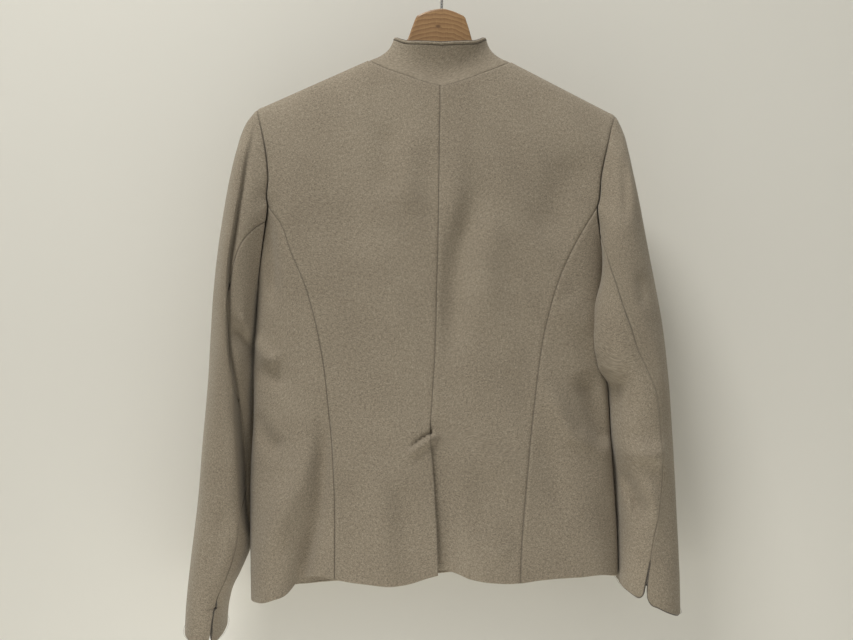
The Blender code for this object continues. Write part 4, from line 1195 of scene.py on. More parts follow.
def put(name: str, mesh: bpy.types.Mesh, finish: Material, sharp: float | None = None) -> Piece:
    """Put a finished mesh into the scene at the origin.

    Args:
        name: Name of the piece.
        mesh: Its mesh.
        finish: Its material.
        sharp: Angle in degrees from which an edge stays sharp, if any does.

    Returns:
        The piece.
    """
    mesh.name = name
    mesh.materials.clear()
    mesh.materials.append(finish)
    mesh.shade_smooth()
    if sharp is not None:
        mesh.set_sharp_from_angle(angle=math.radians(sharp))
    piece = bpy.data.objects.new(name, mesh)
    bpy.context.scene.collection.objects.link(piece)
    return piece


def put_shape(name: str, shape: bmesh.types.BMesh, finish: Material, sharp: float | None = None) -> Piece:
    """Put a finished bmesh into the scene at the origin.

    Args:
        name: Name of the piece.
        shape: Its bmesh, which is freed.
        finish: Its material.
        sharp: Angle in degrees from which an edge stays sharp, if any does.

    Returns:
        The piece.
    """
    mesh = bpy.data.meshes.new(name)
    shape.to_mesh(mesh)
    shape.free()
    return put(name, mesh, finish, sharp)


def declare(piece: Piece, slot: str, node: str | None = None) -> Piece:
    """Tie a piece to the body and to the solid that it stands for.

    Args:
        piece: The piece.
        slot: Its material slot; not used.
        node: The solid's node; a piece of trim stands for none.

    Returns:
        The same piece.
    """
    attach(piece, "root")
    if node is not None:
        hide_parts(node)
    LOG.info("%s stands for %s", piece.name, node or "no solid")
    return piece


def tube(name: str, path: Array, radius: float, finish: Material, sides: int = 3) -> Piece:
    """Make a round cord along a path.

    Args:
        name: Name of the piece.
        path: Points along the cord's middle.
        radius: Half its thickness.
        finish: Its material.
        sides: Curve resolution of its round section.

    Returns:
        The cord as a mesh.
    """
    curve = bpy.data.curves.new(name, "CURVE")
    curve.dimensions = "3D"
    curve.bevel_depth = radius
    curve.bevel_resolution = sides
    curve.use_fill_caps = True
    spline = curve.splines.new("POLY")
    spline.points.add(len(path) - 1)
    spline.points.foreach_set("co", np.concatenate([path, np.ones((len(path), 1))], axis=1).ravel())
    return as_mesh(name, curve, finish)


def as_mesh(name: str, curve: bpy.types.Curve, finish: Material, stand: bool = False) -> Piece:
    """Turn a curve into a mesh piece at the origin.

    Args:
        name: Name of the piece.
        curve: The curve.
        finish: Its material.
        stand: Whether the curve is flat and has to be stood up.

    Returns:
        The mesh piece.
    """
    drawn = bpy.data.objects.new(f"{name}_drawn", curve)
    bpy.context.scene.collection.objects.link(drawn)
    evaluated = drawn.evaluated_get(bpy.context.evaluated_depsgraph_get())
    mesh = bpy.data.meshes.new_from_object(evaluated)
    bpy.data.objects.remove(drawn)
    shape = bmesh.new()
    shape.from_mesh(mesh)
    if stand:
        for vertex in shape.verts:
            vertex.co = (vertex.co.x, -vertex.co.z, vertex.co.y)
    bmesh.ops.remove_doubles(shape, verts=shape.verts[:], dist=WELD)
    bmesh.ops.recalc_face_normals(shape, faces=shape.faces[:])
    shape.to_mesh(mesh)
    shape.free()
    return put(name, mesh, finish, 40)


@dataclass
class ClothPiece:
    """One cut piece of wool, as a thin wall on a fine grid."""

    node: str
    points: Array
    axis: Array
    edges: tuple[Edge, Edge, Edge, Edge]
    wall: float = CLOTH_WALL
    # Share of a groove at each point: it sinks the cloth and also paints shade into its colour
    groove_and_shade: Array | None = None
    seam_depth: float = SEAM_DEPTH
    seam_fade: float = 0.0
    placed: Piece | None = None
    cut: Triple = ORIGIN

    def normals(self, points: Array) -> Array:
        """Outward normals of a grid of points."""
        across, along = np.gradient(points, axis=0), np.gradient(points, axis=1)
        return unit(np.cross(across, along))

    def finished(self) -> tuple[Array, Array]:
        """Shape seams, edges and grooves.

        Returns:
            The final points, and how much painted shade darkens each one in seam lines and grooves.
        """
        points = self.points
        if np.sum(self.normals(points) * (points - self.axis)) < 0:
            points = points[::-1]
            self.edges = (self.edges[1], self.edges[0], *self.edges[2:])
            self.groove_and_shade = None if self.groove_and_shade is None else self.groove_and_shade[::-1]
        self.points = points
        across, along = travelled(points, 0), travelled(points, 1)
        ways = (across, across[-1:] - across, along, along[:, -1:] - along)
        inward, shade = np.zeros(across.shape), np.zeros(across.shape)
        height = points[..., 2]
        pressed = smooth_step((FLAT_SEAM_TOP - height) / FLAT_SEAM_FADES[0])
        pressed = pressed * smooth_step((height - FLAT_SEAM_END) / FLAT_SEAM_FADES[1])
        depth = self.seam_depth * (1 - self.seam_fade * pressed)
        for edge, away in zip(self.edges, ways):
            if edge is Edge.SEAM:
                inward += depth * bell(away, SEAM_REACH)
                inward -= SEAM_PUFF * bell(away - SEAM_PUFF_PLACE, SEAM_PUFF_REACH)
                # Painted shade: the seam's groove is darkened in colour along a thin line
                shade = np.maximum(shade, SEAM_SHADE * depth * bell(away, SEAM_LINE))
            elif edge is Edge.FREE:
                left = np.maximum(EDGE_ROUND - away, 0.0)
                inward += EDGE_ROUND - np.sqrt(np.maximum(EDGE_ROUND**2 - left**2, 0.0))
        # Grooves sink the cloth a little and get painted shade in their colour
        if self.groove_and_shade is not None:
            inward += GROOVE_DEPTH * self.groove_and_shade
            shade = np.maximum(shade, GROOVE_SHADE * self.groove_and_shade)
        return points - self.normals(points) * inward[..., None], shade

    def build(self, finish: Material) -> None:
        """Args:
            finish: Material of the cloth.
        """
        points, shade = self.finished()
        columns, rows = points.shape[:2]
        shape = bmesh.new()
        bmesh.ops.create_grid(shape, x_segments=columns - 1, y_segments=rows - 1, size=0.5, calc_uvs=False)
        self.placed = put_shape(f"{self.node}_cloth", shape, finish)
        mesh = self.placed.data
        places = np.empty(len(mesh.vertices) * 3)
        mesh.vertices.foreach_get("co", places)
        places = places.reshape(-1, 3)
        column = np.rint((places[:, 0] + 0.5) * (columns - 1)).astype(int)
        row = np.rint((places[:, 1] + 0.5) * (rows - 1)).astype(int)
        mesh.vertices.foreach_set("co", points[column, row].ravel())
        # The edge attribute carries the painted shade of seam lines and grooves
        edge = mesh.attributes.new("edge", "FLOAT", "POINT")
        edge.data.foreach_set("value", shade[column, row])
        self.lay_cloth(mesh, column, row)
        mesh.update()
        wall = self.placed.modifiers.new("Wall", "SOLIDIFY")
        wall.thickness = self.wall
        wall.offset = -1.0
        wall.use_rim = True
        declare(self.placed, "wool", self.node)

    def lay_cloth(self, mesh: bpy.types.Mesh, column: Array, row: Array) -> None:
        """Write the UV map in metres and keep the cut's size.

        Args:
            mesh: The piece's mesh.
            column: Grid column of each vertex.
            row: Grid row of each vertex.
        """
        across, along = travelled(self.points, 0), travelled(self.points, 1)
        corners = np.empty(len(mesh.loops), dtype=int)
        mesh.loops.foreach_get("vertex_index", corners)
        flat = np.stack([across[column, row][corners], along[column, row][corners]], axis=-1)
        mesh.uv_layers.new(name="cloth").data.foreach_set("uv", flat.ravel())
        width, length = float(across[-1].max()), float(along[:, -1].max())
        sides = np.diff(self.points, axis=0)[:, :-1], np.diff(self.points, axis=1)[:-1]
        area = float(np.linalg.norm(np.cross(*sides), axis=-1).sum())
        self.cut = (round(width, 3), round(length, 3), round(min(area, width * length), 4))

    def hang(self, rests_on: list[str], **trim: list[Piece]) -> None:
        """Args:
            rests_on: Pieces that carry it; not used.
            trim: Pieces that go with it, as with_pieces; not used.
        """
        width, length, area = self.cut


@dataclass
class Stitching:
    """Row of short sewing stitches along a path on the cloth."""

    name: str
    path: Array
    facing: Array
    stitch: float = 2.1 * MM
    pitch: float = 3.0 * MM
    thread: float = 0.22 * MM

    def build(self, finish: Material) -> Piece:
        """Make the row as one mesh of short rounded threads.

        Args:
            finish: Material of the thread.

        Returns:
            The row of stitches.
        """
        steps = np.linalg.norm(np.diff(self.path, axis=0), axis=1)
        along = np.concatenate([[0.0], np.cumsum(steps)])
        shape = bmesh.new()
        size = Vector((self.thread, self.thread, self.stitch / 2))
        for start in np.arange(self.pitch / 2, along[-1] - self.stitch, self.pitch):
            ends = [Vector(at(along, self.path, start + self.stitch * share)) for share in (0.0, 0.5, 1.0)]
            facing = Vector(at(along, self.facing, start))
            turned = (ends[2] - ends[0]).normalized().to_track_quat("Z", "Y").to_matrix().to_4x4()
            turned.translation = ends[1] + facing * self.thread * 0.6
            made = bmesh.ops.create_uvsphere(shape, u_segments=6, v_segments=4, radius=1.0)
            for vertex in made["verts"]:
                vertex.co = turned @ (vertex.co * size)
        return declare(put_shape(self.name, shape, finish), "braid")


def at(along: Array, values: Array, where: float) -> Array:
    """Read points or directions that are given along a path at a distance."""
    return np.array([np.interp(where, along, values[:, axis]) for axis in range(3)])


@dataclass
class JacketBody:
    """Backs, side backs and fronts."""

    form: BodyForm
    wool: Material
    across: int = 82
    down: int = 196

    def climbs(self) -> Array:
        """Shares of a panel's height, close together at its hem and under the shoulder line."""
        top = 1 - 0.05 * np.linspace(1.0, 0.0, 15)[1:] ** 2
        return np.concatenate([stops(0.0, 4, 0.004, self.down - 18, 0.95), top])

    def back(self, side: int, word: str) -> None:
        """Build one back, from the centre seam and vent to the princess seam and armhole.

        Args:
            side: -1 on the left and 1 on the right.
            word: The side's name.
        """
        form = self.form
        shares = stops(0.0, 4, 0.012, self.across - 8, 0.988, 4, 1.0) ** 1.3
        corner = form.neck_share(side, front=False)
        shares[np.argmin(np.abs(shares - corner))] = corner
        share, climb = np.meshgrid(shares, self.climbs(), indexing="ij")
        low = np.full_like(shares, BACK_HEM_LEVEL)
        low_x = form.point(side * shares * form.seam_turn(low, side), low, fine=False)[:, 0]
        bottom = hem_height(low_x, BACK_HEM)[:, None]
        height = bottom + (form.top_height(shares, side, front=False)[:, None] - bottom) * climb
        outer = form.seam_turn(height, side)
        lift = hem_lift(bottom, height)
        if side > 0:
            centre = form.measure("centre", height)
            inner = -form.turn_at(centre - VENT_UNDERLAP, height, -1)
            inner = inner * smooth_step((VENT_TOP - height) / VENT_SLANT)
            turn = inner + (outer - inner) * share
            lift = lift - self.vent_depth(form.point(turn, height, fine=False)[..., 0] - centre, height)
        else:
            turn = -outer * share
        self.make(f"back_{word}", form.point(turn, height, lift), Edge.SEAM)

    def vent_depth(self, offset: Array, height: Array) -> Array:
        """How far the vent's underlap lies inside the upper flap."""
        begun = smooth_step((VENT_TOP + VENT_LEAD - height) / VENT_LEAD)
        sink = VENT_SINK * np.clip((VENT_TOP - height) / VENT_RUN, 0.0, 1.0)
        return (VENT_STEP * begun + sink) * (1 - smooth_step((offset - VENT_FLAT) / VENT_FADE))

    def side_back(self, side: int, word: str) -> None:
        """Build the panel between the princess seam and the side seam.

        Args:
            side: -1 on the left and 1 on the right.
            word: The side's name.
        """
        form = self.form
        shares = stops(0.0, 4, 0.03, 46, 0.97, 4, 1.0)
        climbs = stops(0.0, 4, 0.005, 136, 0.985, 4, 1.0)
        share, climb = np.meshgrid(shares, climbs, indexing="ij")
        low = np.full_like(shares, BACK_HEM_LEVEL)
        low_turn = form.seam_turn(low, side) + (math.pi / 2 - form.seam_turn(low, side)) * shares
        bottom = hem_height(form.point(side * low_turn, low, fine=False)[:, 0], BACK_HEM)[:, None]
        height = bottom + (form.side_back_top(shares, side)[:, None] - bottom) * climb
        seam = form.seam_turn(height, side)
        turn = side * (seam + (math.pi / 2 - seam) * share)
        self.make(f"side_back_{word}", form.point(turn, height, hem_lift(bottom, height)), Edge.SEAM)

    def front_shares(self, side: int) -> Array:
        """Spread a front's columns evenly over the cloth, with one at the neck's corner.

        Args:
            side: -1 on the left and 1 on the right.

        Returns:
            Shares of the front's width.
        """
        form = self.form
        lap, edge = float(form.lap_turn(np.array(-450 * MM), side)), math.pi / 2
        start = -((lap / edge) ** (1 / 1.3))
        walk = stops(start, 3, start + 0.02, 73, 1.0)
        even = (edge * np.sign(walk) * np.abs(walk) ** 1.3 + lap) / (edge + lap)
        even[0], even[-1] = 0.0, 1.0
        even = np.sort(np.concatenate([even, [0.985, 0.995]]))
        corner = form.neck_share(side, front=True)
        even[np.argmin(np.abs(even - corner))] = corner
        return even

    def front_points(self, side: int, shares: Array, climbs: Array) -> Array:
        """Find points of a front.

        Args:
            side: -1 on the left and 1 on the right.
            shares: Shares of its width, from the lapped edge.
            climbs: Shares of its height, from the hem.

        Returns:
            The grid of points.
        """
        form = self.form
        share, climb = np.meshgrid(shares, climbs, indexing="ij")
        low = np.full_like(shares, FRONT_HEM_LEVEL)
        low_x = form.point(side * shares * math.pi / 2, low, fine=False)[:, 0]
        bottom = hem_height(low_x, FRONT_HEM)[:, None]
        height = bottom + (form.top_height(shares, side, front=True)[:, None] - bottom) * climb
        turn = form.front_turn(share, height, side)
        offset = side * (form.point(turn, height, fine=False)[..., 0] - form.measure("centre", height))
        lift = LAP_STEP * (1 - smooth_step((offset - FRONT_LAP) / LAP_FADE)) if side > 0 else 0.0 * offset
        return form.point(turn, height, lift)

    def make(self, node: str, points: Array, first: Edge) -> None:
        """Finish a panel's edges and declare its cloth."""
        piece = ClothPiece(node, points, self.form.axis(points), (first, Edge.SEAM, Edge.FREE, Edge.SEAM))
        piece.build(self.wool)
        piece.hang(["hanger_wood"])

    def build(self) -> None:
        """Build all six panels."""
        for side, word in SIDES:
            self.back(side, word)
            self.side_back(side, word)
            points = self.front_points(side, self.front_shares(side), self.climbs())
            self.make(f"front_{word}", points, Edge.FREE)


@dataclass
class StandCollar:
    """Stand collar with its piped upper edge and the sewn line under it."""

    body: JacketBody

    def ring(self) -> Array:
        """Trace the neck seam.

        Returns:
            Points from the right front's end over the back to the left front's end.
        """
        form, halves = self.body.form, []
        for side in (1, -1):
            shares = np.linspace(0.0, 1.0, 90) * form.neck_share(side, front=True)
            front = self.body.front_points(side, shares, np.array([1.0]))[:, 0]
            past = int(np.argmax(side * front[:, 0] > COLLAR_END))
            shares = np.linspace(0.0, 1.0, 60) ** 1.3 * form.neck_share(side, front=False)
            height = form.top_height(shares, side, front=False)
            back = form.point(side * shares * form.seam_turn(height, side), height)
            halves.append(np.concatenate([front[past:-1], back[::-1]]))
        return np.concatenate([halves[0], halves[1][-2::-1]])

    def points(self) -> Array:
        """Shape the collar's outer surface.

        Returns:
            Grid of points, from the neck seam up.
        """
        base = self.ring()
        left = base[:, 0] < 0
        widths = np.where(left, NECK_WIDTH[-1], NECK_WIDTH[1])
        bearing = np.arctan2(np.abs(base[:, 0]) / widths, np.clip(-base[:, 1] / NECK_HALF_DEPTH, -1, 1))
        top_width = np.where(left, -COLLAR_TOP_HALF_WIDTH[-1], COLLAR_TOP_HALF_WIDTH[1])
        rims = np.array(COLLAR_TOP_HEIGHTS)
        middle = (COLLAR_TOP_BACK + COLLAR_TOP_FRONT) / 2
        half_depth = (COLLAR_TOP_FRONT - COLLAR_TOP_BACK) / 2
        rim = smooth_curve(rims[:, 0], rims[:, 1] * MM, np.degrees(bearing))
        top = (top_width * np.sin(bearing) ** 0.85, middle - half_depth * np.cos(bearing), rim)
        top = np.stack(top, axis=-1)
        climbs = stops(0.0, 4, 0.03, 24, 0.88, 14, 1.0)
        points = base[:, None] + (top - base)[:, None] * climbs[None, :, None]
        inward = unit((COLLAR_AXIS - (base + top) / 2) * np.array([1.0, 1.0, 0.0]))[:, None]
        return points + inward * (COLLAR_HOLLOW * np.sin(math.pi * climbs**0.75))[None, :, None]

    def build(self, braid: Material, thread: Material) -> None:
        """Build the collar, its piping and its stitches.

        Args:
            braid: Material of the piping.
            thread: Material of the stitches.
        """
        points = self.points()
        along = travelled(points, 1)
        below = along[:, -1:] - along
        axis = points * np.array([0.0, 0.0, 1.0]) + COLLAR_AXIS - np.array([0.0, 0.0, 10 * MM])
        edges = (Edge.FREE, Edge.FREE, Edge.SEAM, Edge.FREE)
        # The sewn line under the piping: a shallow groove with painted shade in its colour
        groove_and_shade = bell(below - COLLAR_GROOVE, GROOVE_REACH)
        piece = ClothPiece("collar", points, axis, edges, COLLAR_WALL, groove_and_shade)
        piece.build(self.body.wool)
        grid, _ = piece.finished()
        normals = piece.normals(grid)
        rise = unit(grid[:, -1] - grid[:, -3])
        path = grid[:, -1] - normals[:, -2] * COLLAR_WALL * 0.42 + rise * PIPING_RADIUS * 0.7
        cord = declare(tube("collar_piping_cord", path, PIPING_RADIUS, braid), "braid", "collar_piping")
        row = int(np.argmin(np.abs(below.mean(axis=0) - COLLAR_GROOVE)))
        line = grid[:, row] + normals[:, row] * 0.1 * MM
        stitches = Stitching("collar_stitches", line, normals[:, row]).build(thread)
        piece.hang(["back_left_cloth", "back_right_cloth"], with_pieces=[cord, stitches])


@dataclass
class JacketSleeve:
    """Upper and under sleeve with the cuff's slit and piping."""

    form: SleeveForm
    word: str
    rows: int = 190

    def grid(self, kind: str) -> Array:
        """Lay out a piece, with its slit opened and the slit's corner rounded.

        Args:
            kind: Upper or under sleeve.

        Returns:
            Grid of points, from the armhole down.
        """
        form = self.form
        seam, front = form.seam_start, math.radians(FRONT_SEAM_ANGLE)
        upper = kind == "upper"
        start, end = (front, seam) if upper else (seam, front + 2 * math.pi)
        angles = start + (end - start) * stops(0.0, 5, 0.03, 88 if upper else 76, 0.97, 5, 1.0)
        shares = stops(0.0, 5, 0.008, 10, 0.05, self.rows - 44, 0.93, 24, 0.996, 5, 1.0)
        angle, share = np.meshgrid(angles, shares, indexing="ij")
        length = form.ring_height(angle) - form.hem(angle)
        above = (1 - share) * length
        wrapped = np.mod(angle, 2 * math.pi)
        left = np.maximum(SLIT_CORNER - np.abs(wrapped - seam) * SLIT_RADIUS, 0.0)
        rounded = SLIT_CORNER - np.sqrt(np.maximum(SLIT_CORNER**2 - left**2, 0.0))
        share = share * (1 - rounded / length)
        retreat = np.clip(1 - above / SLIT_LENGTH, 0.0, 1.0) ** 1.3 * SLIT_OPENING + 0.02 * MM
        near = bell(wrapped - seam, math.radians(SLIT_REACH))
        angle = angle + (-1 if upper else 1) * near * retreat / SLIT_RADIUS
        points = form.point(angle, share)
        seated = form.point(angle, share * 0.0, fine=False)[:, :1]
        facing = form.body.normal(form.ring_turn(angle[:, :1]), form.ring_height(angle[:, :1]))
        sunk = np.exp(-travelled(points, 1) / ARMHOLE_SINK)[..., None]
        return points + (seated - points[:, :1]) * sunk + facing * ARMHOLE_PUFF * (sunk - sunk**2)

    def build(self, wool: Material, braid: Material, thread: Material) -> None:
        """Build both pieces of the sleeve, their piping and stitches.

        Args:
            wool: Material of the cloth.
            braid: Material of the piping.
            thread: Material of the stitches.
        """
        edges = (Edge.SEAM, Edge.SEAM, Edge.FREE, Edge.SEAM)
        seams = {"seam_depth": SLEEVE_SEAM_DEPTH, "seam_fade": FLAT_SEAM_SHARE}
        for kind in ("upper", "under"):
            points = self.grid(kind)[:, ::-1]
            groove_and_shade = self.form.fold_shade(points)
            node = f"sleeve_{kind}_{self.word}"
            piece = ClothPiece(node, points, self.form.axis(points), edges, groove_and_shade=groove_and_shade, **seams)
            piece.build(wool)
            trim = self.trim(f"{kind}_{self.word}", piece, braid, thread)
            piece.hang([f"back_{self.word}_cloth", f"front_{self.word}_cloth"], with_pieces=trim)

    def trim(self, name: str, piece: ClothPiece, braid: Material, thread: Material) -> list[Piece]:
        """Pipe the cuff's lower edge and the slit.

        Args:
            name: Upper or under, and the side's name.
            piece: The cloth that carries the trim.
            braid: Material of the piping.
            thread: Material of the stitches.

        Returns:
            The piping and the stitches.
        """
        grid, _ = piece.finished()
        seam_x = self.form.section(np.array(self.form.seam_start), grid[0, 0, 2])[0]
        if abs(grid[0, 0, 0] - seam_x) >= abs(grid[-1, 0, 0] - seam_x):
            grid, turned = grid[::-1], -1
        else:
            turned = 1
        normals = piece.normals(grid) * turned
        height = grid[0, :, 2]
        rows = int(np.sum(height < height[0] + SLIT_LENGTH * 0.9))
        path = np.concatenate([grid[0, 1:rows][::-1], grid[:, 0]])
        facing = np.concatenate([normals[0, 1:rows][::-1], normals[:, 1]])
        out = np.concatenate([unit(grid[0, 1:rows] - grid[1, 1:rows])[::-1], unit(grid[:, 0] - grid[:, 2])])
        path, facing, out = path[::turned], facing[::turned], out[::turned]
        middle = path - facing * CLOTH_WALL * 0.2 + out * PIPING_RADIUS * 0.8
        cord = tube(f"cuff_piping_{name}_cord", thin_out(middle), PIPING_RADIUS, braid)
        declare(cord, "braid", f"cuff_piping_{name}")
        line = path - out * STITCH_INSET + facing * STITCH_PROUD
        return [cord, Stitching(f"cuff_stitches_{name}", line[::2], facing[::2]).build(thread)]


def thin_out(path: Array, least: float = 0.8 * MM) -> Array:
    """Leave out points of a path that lie closer than a distance to the last one kept."""
    kept = [path[0]]
    for place in path[1:]:
        if np.linalg.norm(place - kept[-1]) > least:
            kept.append(place)
    return np.array(kept)


@dataclass
class Buttons:
    """Front buttons: turned discs with a rim, a dished middle and four sewn holes."""

    form: BodyForm
    count: int = 5
    radius: float = 10 * MM
    thickness: float = 4 * MM
    top: float = -225 * MM
    bottom: float = -580 * MM
    hole_radius: float = 0.9 * MM
    hole_spread: float = 2.3 * MM
    # Half profile from the middle of the face out over the rim to the back: radius and height shares
    profile: tuple[tuple[float, float], ...] = (
        (0.0, 0.20), (0.40, 0.22), (0.62, 0.30), (0.72, 0.44), (0.80, 0.50), (0.90, 0.49),
        (0.97, 0.38), (1.0, 0.16), (0.99, -0.16), (0.92, -0.38), (0.70, -0.50), (0.0, -0.50),
    )

    def build(self, horn: Material, thread: Material) -> None:
        """Build every button with its thread.

        Args:
            horn: Material of the discs.
            thread: Material of the thread.
        """
        turn = np.array(math.pi - 1e-3)
        for number in range(self.count):
            height = np.array(self.top + (self.bottom - self.top) * number / (self.count - 1))
            seat = Vector(self.form.point(turn, height, LAP_STEP, fine=False))
            outward = Vector(self.form.normal(turn, height))
            turned = outward.to_track_quat("Z", "Y").to_matrix().to_4x4()
            turned.translation = seat + outward * (self.thickness / 2 + 0.5 * MM)
            node = f"button_{number + 1}"
            disc, crossed = (f"{node}_turned", self.disc(), horn), (f"{node}_thread", self.sewing(), thread)
            for (name, shape, finish), ties in ((disc, ("horn", node)), (crossed, ("braid",))):
                bmesh.ops.transform(shape, matrix=turned, verts=shape.verts[:])
                declare(put_shape(name, shape, finish, 50), *ties)

    def disc(self) -> bmesh.types.BMesh:
        """Turn one button's disc on a lathe.

        Returns:
            The disc, with its face upwards.
        """
        shape = bmesh.new()
        verts = [shape.verts.new((self.radius * r, 0.0, self.thickness * h)) for r, h in self.profile]
        line = [shape.edges.new(pair) for pair in zip(verts, verts[1:])]
        lathe = {"axis": (0, 0, 1), "cent": (0, 0, 0), "angle": 2 * math.pi}
        bmesh.ops.spin(shape, geom=verts + line, steps=40, use_merge=True, **lathe)
        bmesh.ops.remove_doubles(shape, verts=shape.verts[:], dist=WELD)
        bmesh.ops.recalc_face_normals(shape, faces=shape.faces[:])
        return shape

    def sewing(self) -> bmesh.types.BMesh:
        """Cross the four holes with thread.

        Returns:
            The crossed thread and the holes' dark ends.
        """
        shape = bmesh.new()
        face, spread = self.thickness * 0.23, self.hole_spread
        for x in (-1, 1):
            bar = bmesh.ops.create_uvsphere(shape, u_segments=10, v_segments=8, radius=1.0)
            for vertex in bar["verts"]:
                place = Vector(vertex.co)
                along = place.y * spread * 1.3
                across = spread * 0.5 * x + place.x * 0.5 * MM + along * 0.75 * x
                vertex.co = Vector((across, along, face + place.z * 0.4 * MM + 0.5 * MM * (1 - place.y**2)))
        cone = {"cap_ends": True, "segments": 14, "depth": 0.5 * MM}
        cone |= {"radius1": self.hole_radius, "radius2": self.hole_radius * 1.15}
        for x, y in ((-1, -1), (-1, 1), (1, -1), (1, 1)):
            for vertex in bmesh.ops.create_cone(shape, **cone)["verts"]:
                vertex.co += Vector((x * spread / 2 * 1.4, y * spread / 2 * 1.4, face))
        return shape


@dataclass
class Hanger:
    """Wooden body and wire hook."""

    form: BodyForm
    head_steps: int = 8
    arm_steps: int = 14

    def head(self) -> list[tuple[float, float]]:
        """Rounded outline of the head, from its left foot over the top."""
        knots = np.arange(len(WOOD_HEAD), dtype=float)
        rows = np.array(WOOD_HEAD) * MM
        where = np.linspace(0, len(WOOD_HEAD) - 1, (len(WOOD_HEAD) - 1) * self.head_steps + 1)
        return list(zip(*(smooth_curve(knots, rows[:, axis], where) for axis in (0, 1))))

    def outline(self) -> list[tuple[float, float]]:
        """Draw the wooden body.

        Returns:
            Its outline, over the arms and head and back below.
        """
        left, right, dips = [], [], []
        for side, line in ((-1, left), (1, right)):
            start, end = NECK_WIDTH[side] + ARM_START, ARM_REACH[side]
            for share in np.linspace(0.0, 1.0, self.arm_steps):
                x = side * (start + (end - start) * share)
                line.append((x, self.form.ridge(x, side) - WOOD_BELOW_RIDGE))
            low = NECK_HEIGHT[side] - WOOD_DIP
            dips.append([(side * (NECK_WIDTH[side] - run), low + rise) for run, rise in WOOD_DIPS])
        upper = left[::-1] + dips[0] + self.head() + dips[1][::-1] + right
        lower = []
        for side, line in ((1, right), (-1, left)):
            depths = np.linspace(ARM_DEPTH_CENTRE, ARM_DEPTH_END, len(line))
            under = [(x, z - depth) for (x, z), depth in zip(line, depths)]
            nose = (line[-1][0] + side * ARM_NOSE, line[-1][1] - ARM_DEPTH_END * 0.5)
            lower.extend([nose] + under[::-1] if side > 0 else [(0.0, WOOD_LOW)] + under + [nose])
        return upper + lower

    def build(self, wood: Material, wire: Material) -> None:
        """Build the wood with rounded edges and the hook with its rounded end.

        Args:
            wood: Material of the body.
            wire: Material of the hook.
        """
        curve = bpy.data.curves.new("hanger_wood_shaped", "CURVE")
        curve.dimensions = "2D"
        curve.fill_mode = "BOTH"
        curve.extrude = WOOD_HALF_THICKNESS - WOOD_EDGE
        curve.bevel_depth = WOOD_EDGE
        curve.bevel_resolution = 4
        curve.offset = -WOOD_EDGE
        outline = self.outline()
        spline = curve.splines.new("POLY")
        spline.points.add(len(outline) - 1)
        spline.use_cyclic_u = True
        for point, (x, z) in zip(spline.points, outline):
            point.co = (x, z, 0.0, 1.0)
        declare(as_mesh("hanger_wood_shaped", curve, wood, stand=True), "beech", "hanger_wood")
        radius = HOOK_RADIUS + HOOK_WIRE_RADIUS
        path = [(x * MM, 0.0, WOOD_TOP + rise * MM) for x, rise in HOOK_STEM]
        for degrees in range(-58, 201, 4):
            angle = math.radians(degrees)
            path.append((radius * math.cos(angle), 0.0, -HOOK_RADIUS + radius * math.sin(angle)))
        hook = tube("hanger_hook_wire", np.array(path), HOOK_WIRE_RADIUS, wire, 5)
        declare(hook, "steel", "hanger_hook")
        shape = bmesh.new()
        bmesh.ops.create_uvsphere(shape, u_segments=20, v_segments=12, radius=HOOK_WIRE_RADIUS * 1.25)
        bmesh.ops.translate(shape, verts=shape.verts[:], vec=Vector(path[-1]))
        declare(put_shape("hanger_hook_end", shape, wire), "steel")


@dataclass(frozen=True)
class Light:
    """One soft square light that points at a target."""

    name: str
    place: Triple
    size: float
    power: float
    tint: Triple
    target: Triple = (0.0, 0.0, -0.45)

    def hang(self) -> None:
        """Put the light into the scene."""
        lamp = bpy.data.lights.new(self.name, "AREA")
        lamp.shape = "SQUARE"
        lamp.size = self.size
        lamp.energy = self.power
        lamp.color = self.tint
        piece = bpy.data.objects.new(self.name, lamp)
        piece.location = self.place
        direction = Vector(self.target) - Vector(self.place)
        piece.rotation_euler = direction.to_track_quat("-Z", "Y").to_euler()
        bpy.context.scene.collection.objects.link(piece)


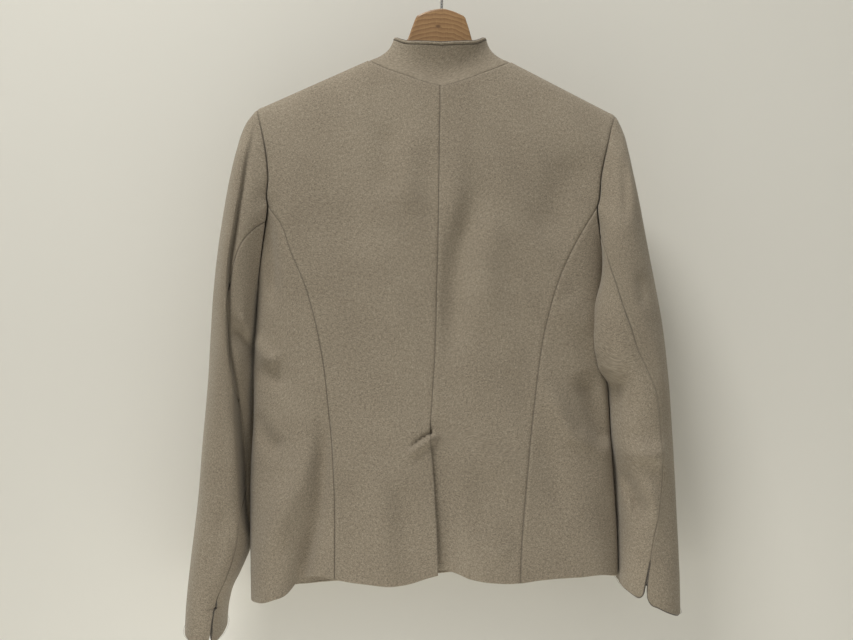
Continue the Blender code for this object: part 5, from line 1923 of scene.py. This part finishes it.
@dataclass
class Room:
    """Pale wall and floor, soft lights and the camera."""

    wall_place: float = 0.10
    floor_height: float = -1.5
    reach: float = 6.0
    lights: tuple[Light, ...] = (
        Light("window", (-0.8, -1.15, 1.9), 0.8, 50.0, (1.0, 0.985, 0.95)),
        Light("bounce", (1.6, -2.3, -0.2), 2.2, 3.0, (1.0, 0.97, 0.92)),
        Light("wall_fill", (-0.1, -0.35, -1.35), 0.9, 2.6, (1.0, 0.98, 0.94), (-0.1, 0.10, -0.85)),
        Light("front_fill", (0.6, 2.4, 0.4), 2.4, 16.0, (1.0, 0.98, 0.95)),
    )

    def plane(self, name: str, upright: bool) -> None:
        """Make a large flat piece of the room."""
        shape = bmesh.new()
        bmesh.ops.create_grid(shape, x_segments=1, y_segments=1, size=self.reach)
        for vertex in shape.verts:
            x, y, _ = vertex.co
            vertex.co = (x, self.wall_place, y) if upright else (x, y, self.floor_height)
        put_shape(name, shape, self.paint(name))

    def paint(self, name: str) -> Material:
        """Mix matt off-white paint that can't be seen from its back.

        Args:
            name: Name of the painted piece.

        Returns:
            The paint.
        """
        nodes = NodeBoard(name)
        drift = nodes.noise(nodes.place, 1.2, 2.0, 0.5)
        nodes.surface(nodes.ramp(drift, *WALL_TONES), None, NO_BUMP, Roughness=0.85)
        back = nodes.add("ShaderNodeNewGeometry").outputs["Backfacing"]
        shadow = nodes.add("ShaderNodeLightPath").outputs["Is Shadow Ray"]
        clear = nodes.add("ShaderNodeBsdfTransparent").outputs["BSDF"]
        inputs = {"Fac": nodes.math("MAXIMUM", back, shadow), 1: nodes.shader.outputs["BSDF"], 2: clear}
        mixed = nodes.add("ShaderNodeMixShader", inputs).outputs["Shader"]
        nodes.fill(nodes.tree.nodes["Material Output"].inputs["Surface"], mixed)
        return nodes.material

    def build(self) -> None:
        """Set the stage, the lights and the camera."""
        self.plane("wall", True)
        self.plane("floor", False)
        for light in self.lights:
            light.hang()
        world = bpy.data.worlds.new("soft_room")
        world.use_nodes = True
        background = world.node_tree.nodes["Background"]
        background.inputs["Color"].default_value = (0.86, 0.85, 0.82, 1.0)
        background.inputs["Strength"].default_value = 0.3
        scene = bpy.context.scene
        scene.world = world
        camera_data = bpy.data.cameras.new("camera")
        camera_data.lens = CAMERA_LENS
        camera_data.sensor_width = CAMERA_SENSOR
        camera = bpy.data.objects.new("camera", camera_data)
        camera.location = CAMERA_PLACE
        camera.rotation_euler = (math.radians(90), 0.0, 0.0)
        scene.collection.objects.link(camera)
        scene.camera = camera
        scene.view_settings.view_transform = "Standard"


def main() -> None:
    """Build the jacket, its hanger and the room."""
    logging.basicConfig(level=logging.INFO, format="%(message)s")
    wool = WoolFinish().material()
    braid = CordFinish().material()
    thread = CordFinish("thread", (0.20, 0.17, 0.13), (0.09, 0.075, 0.058), 0.6 * MM).material()
    form = BodyForm()
    body = JacketBody(form, wool)
    body.build()
    StandCollar(body).build(braid, thread)
    for side, word in SIDES:
        JacketSleeve(SleeveForm(form, side), word).build(wool, braid, thread)
    Buttons(form).build(HornFinish().material(), thread)
    Hanger(form).build(WoodFinish().material(), WireFinish().material())
    Room().build()


if __name__ == "__main__":
    main()
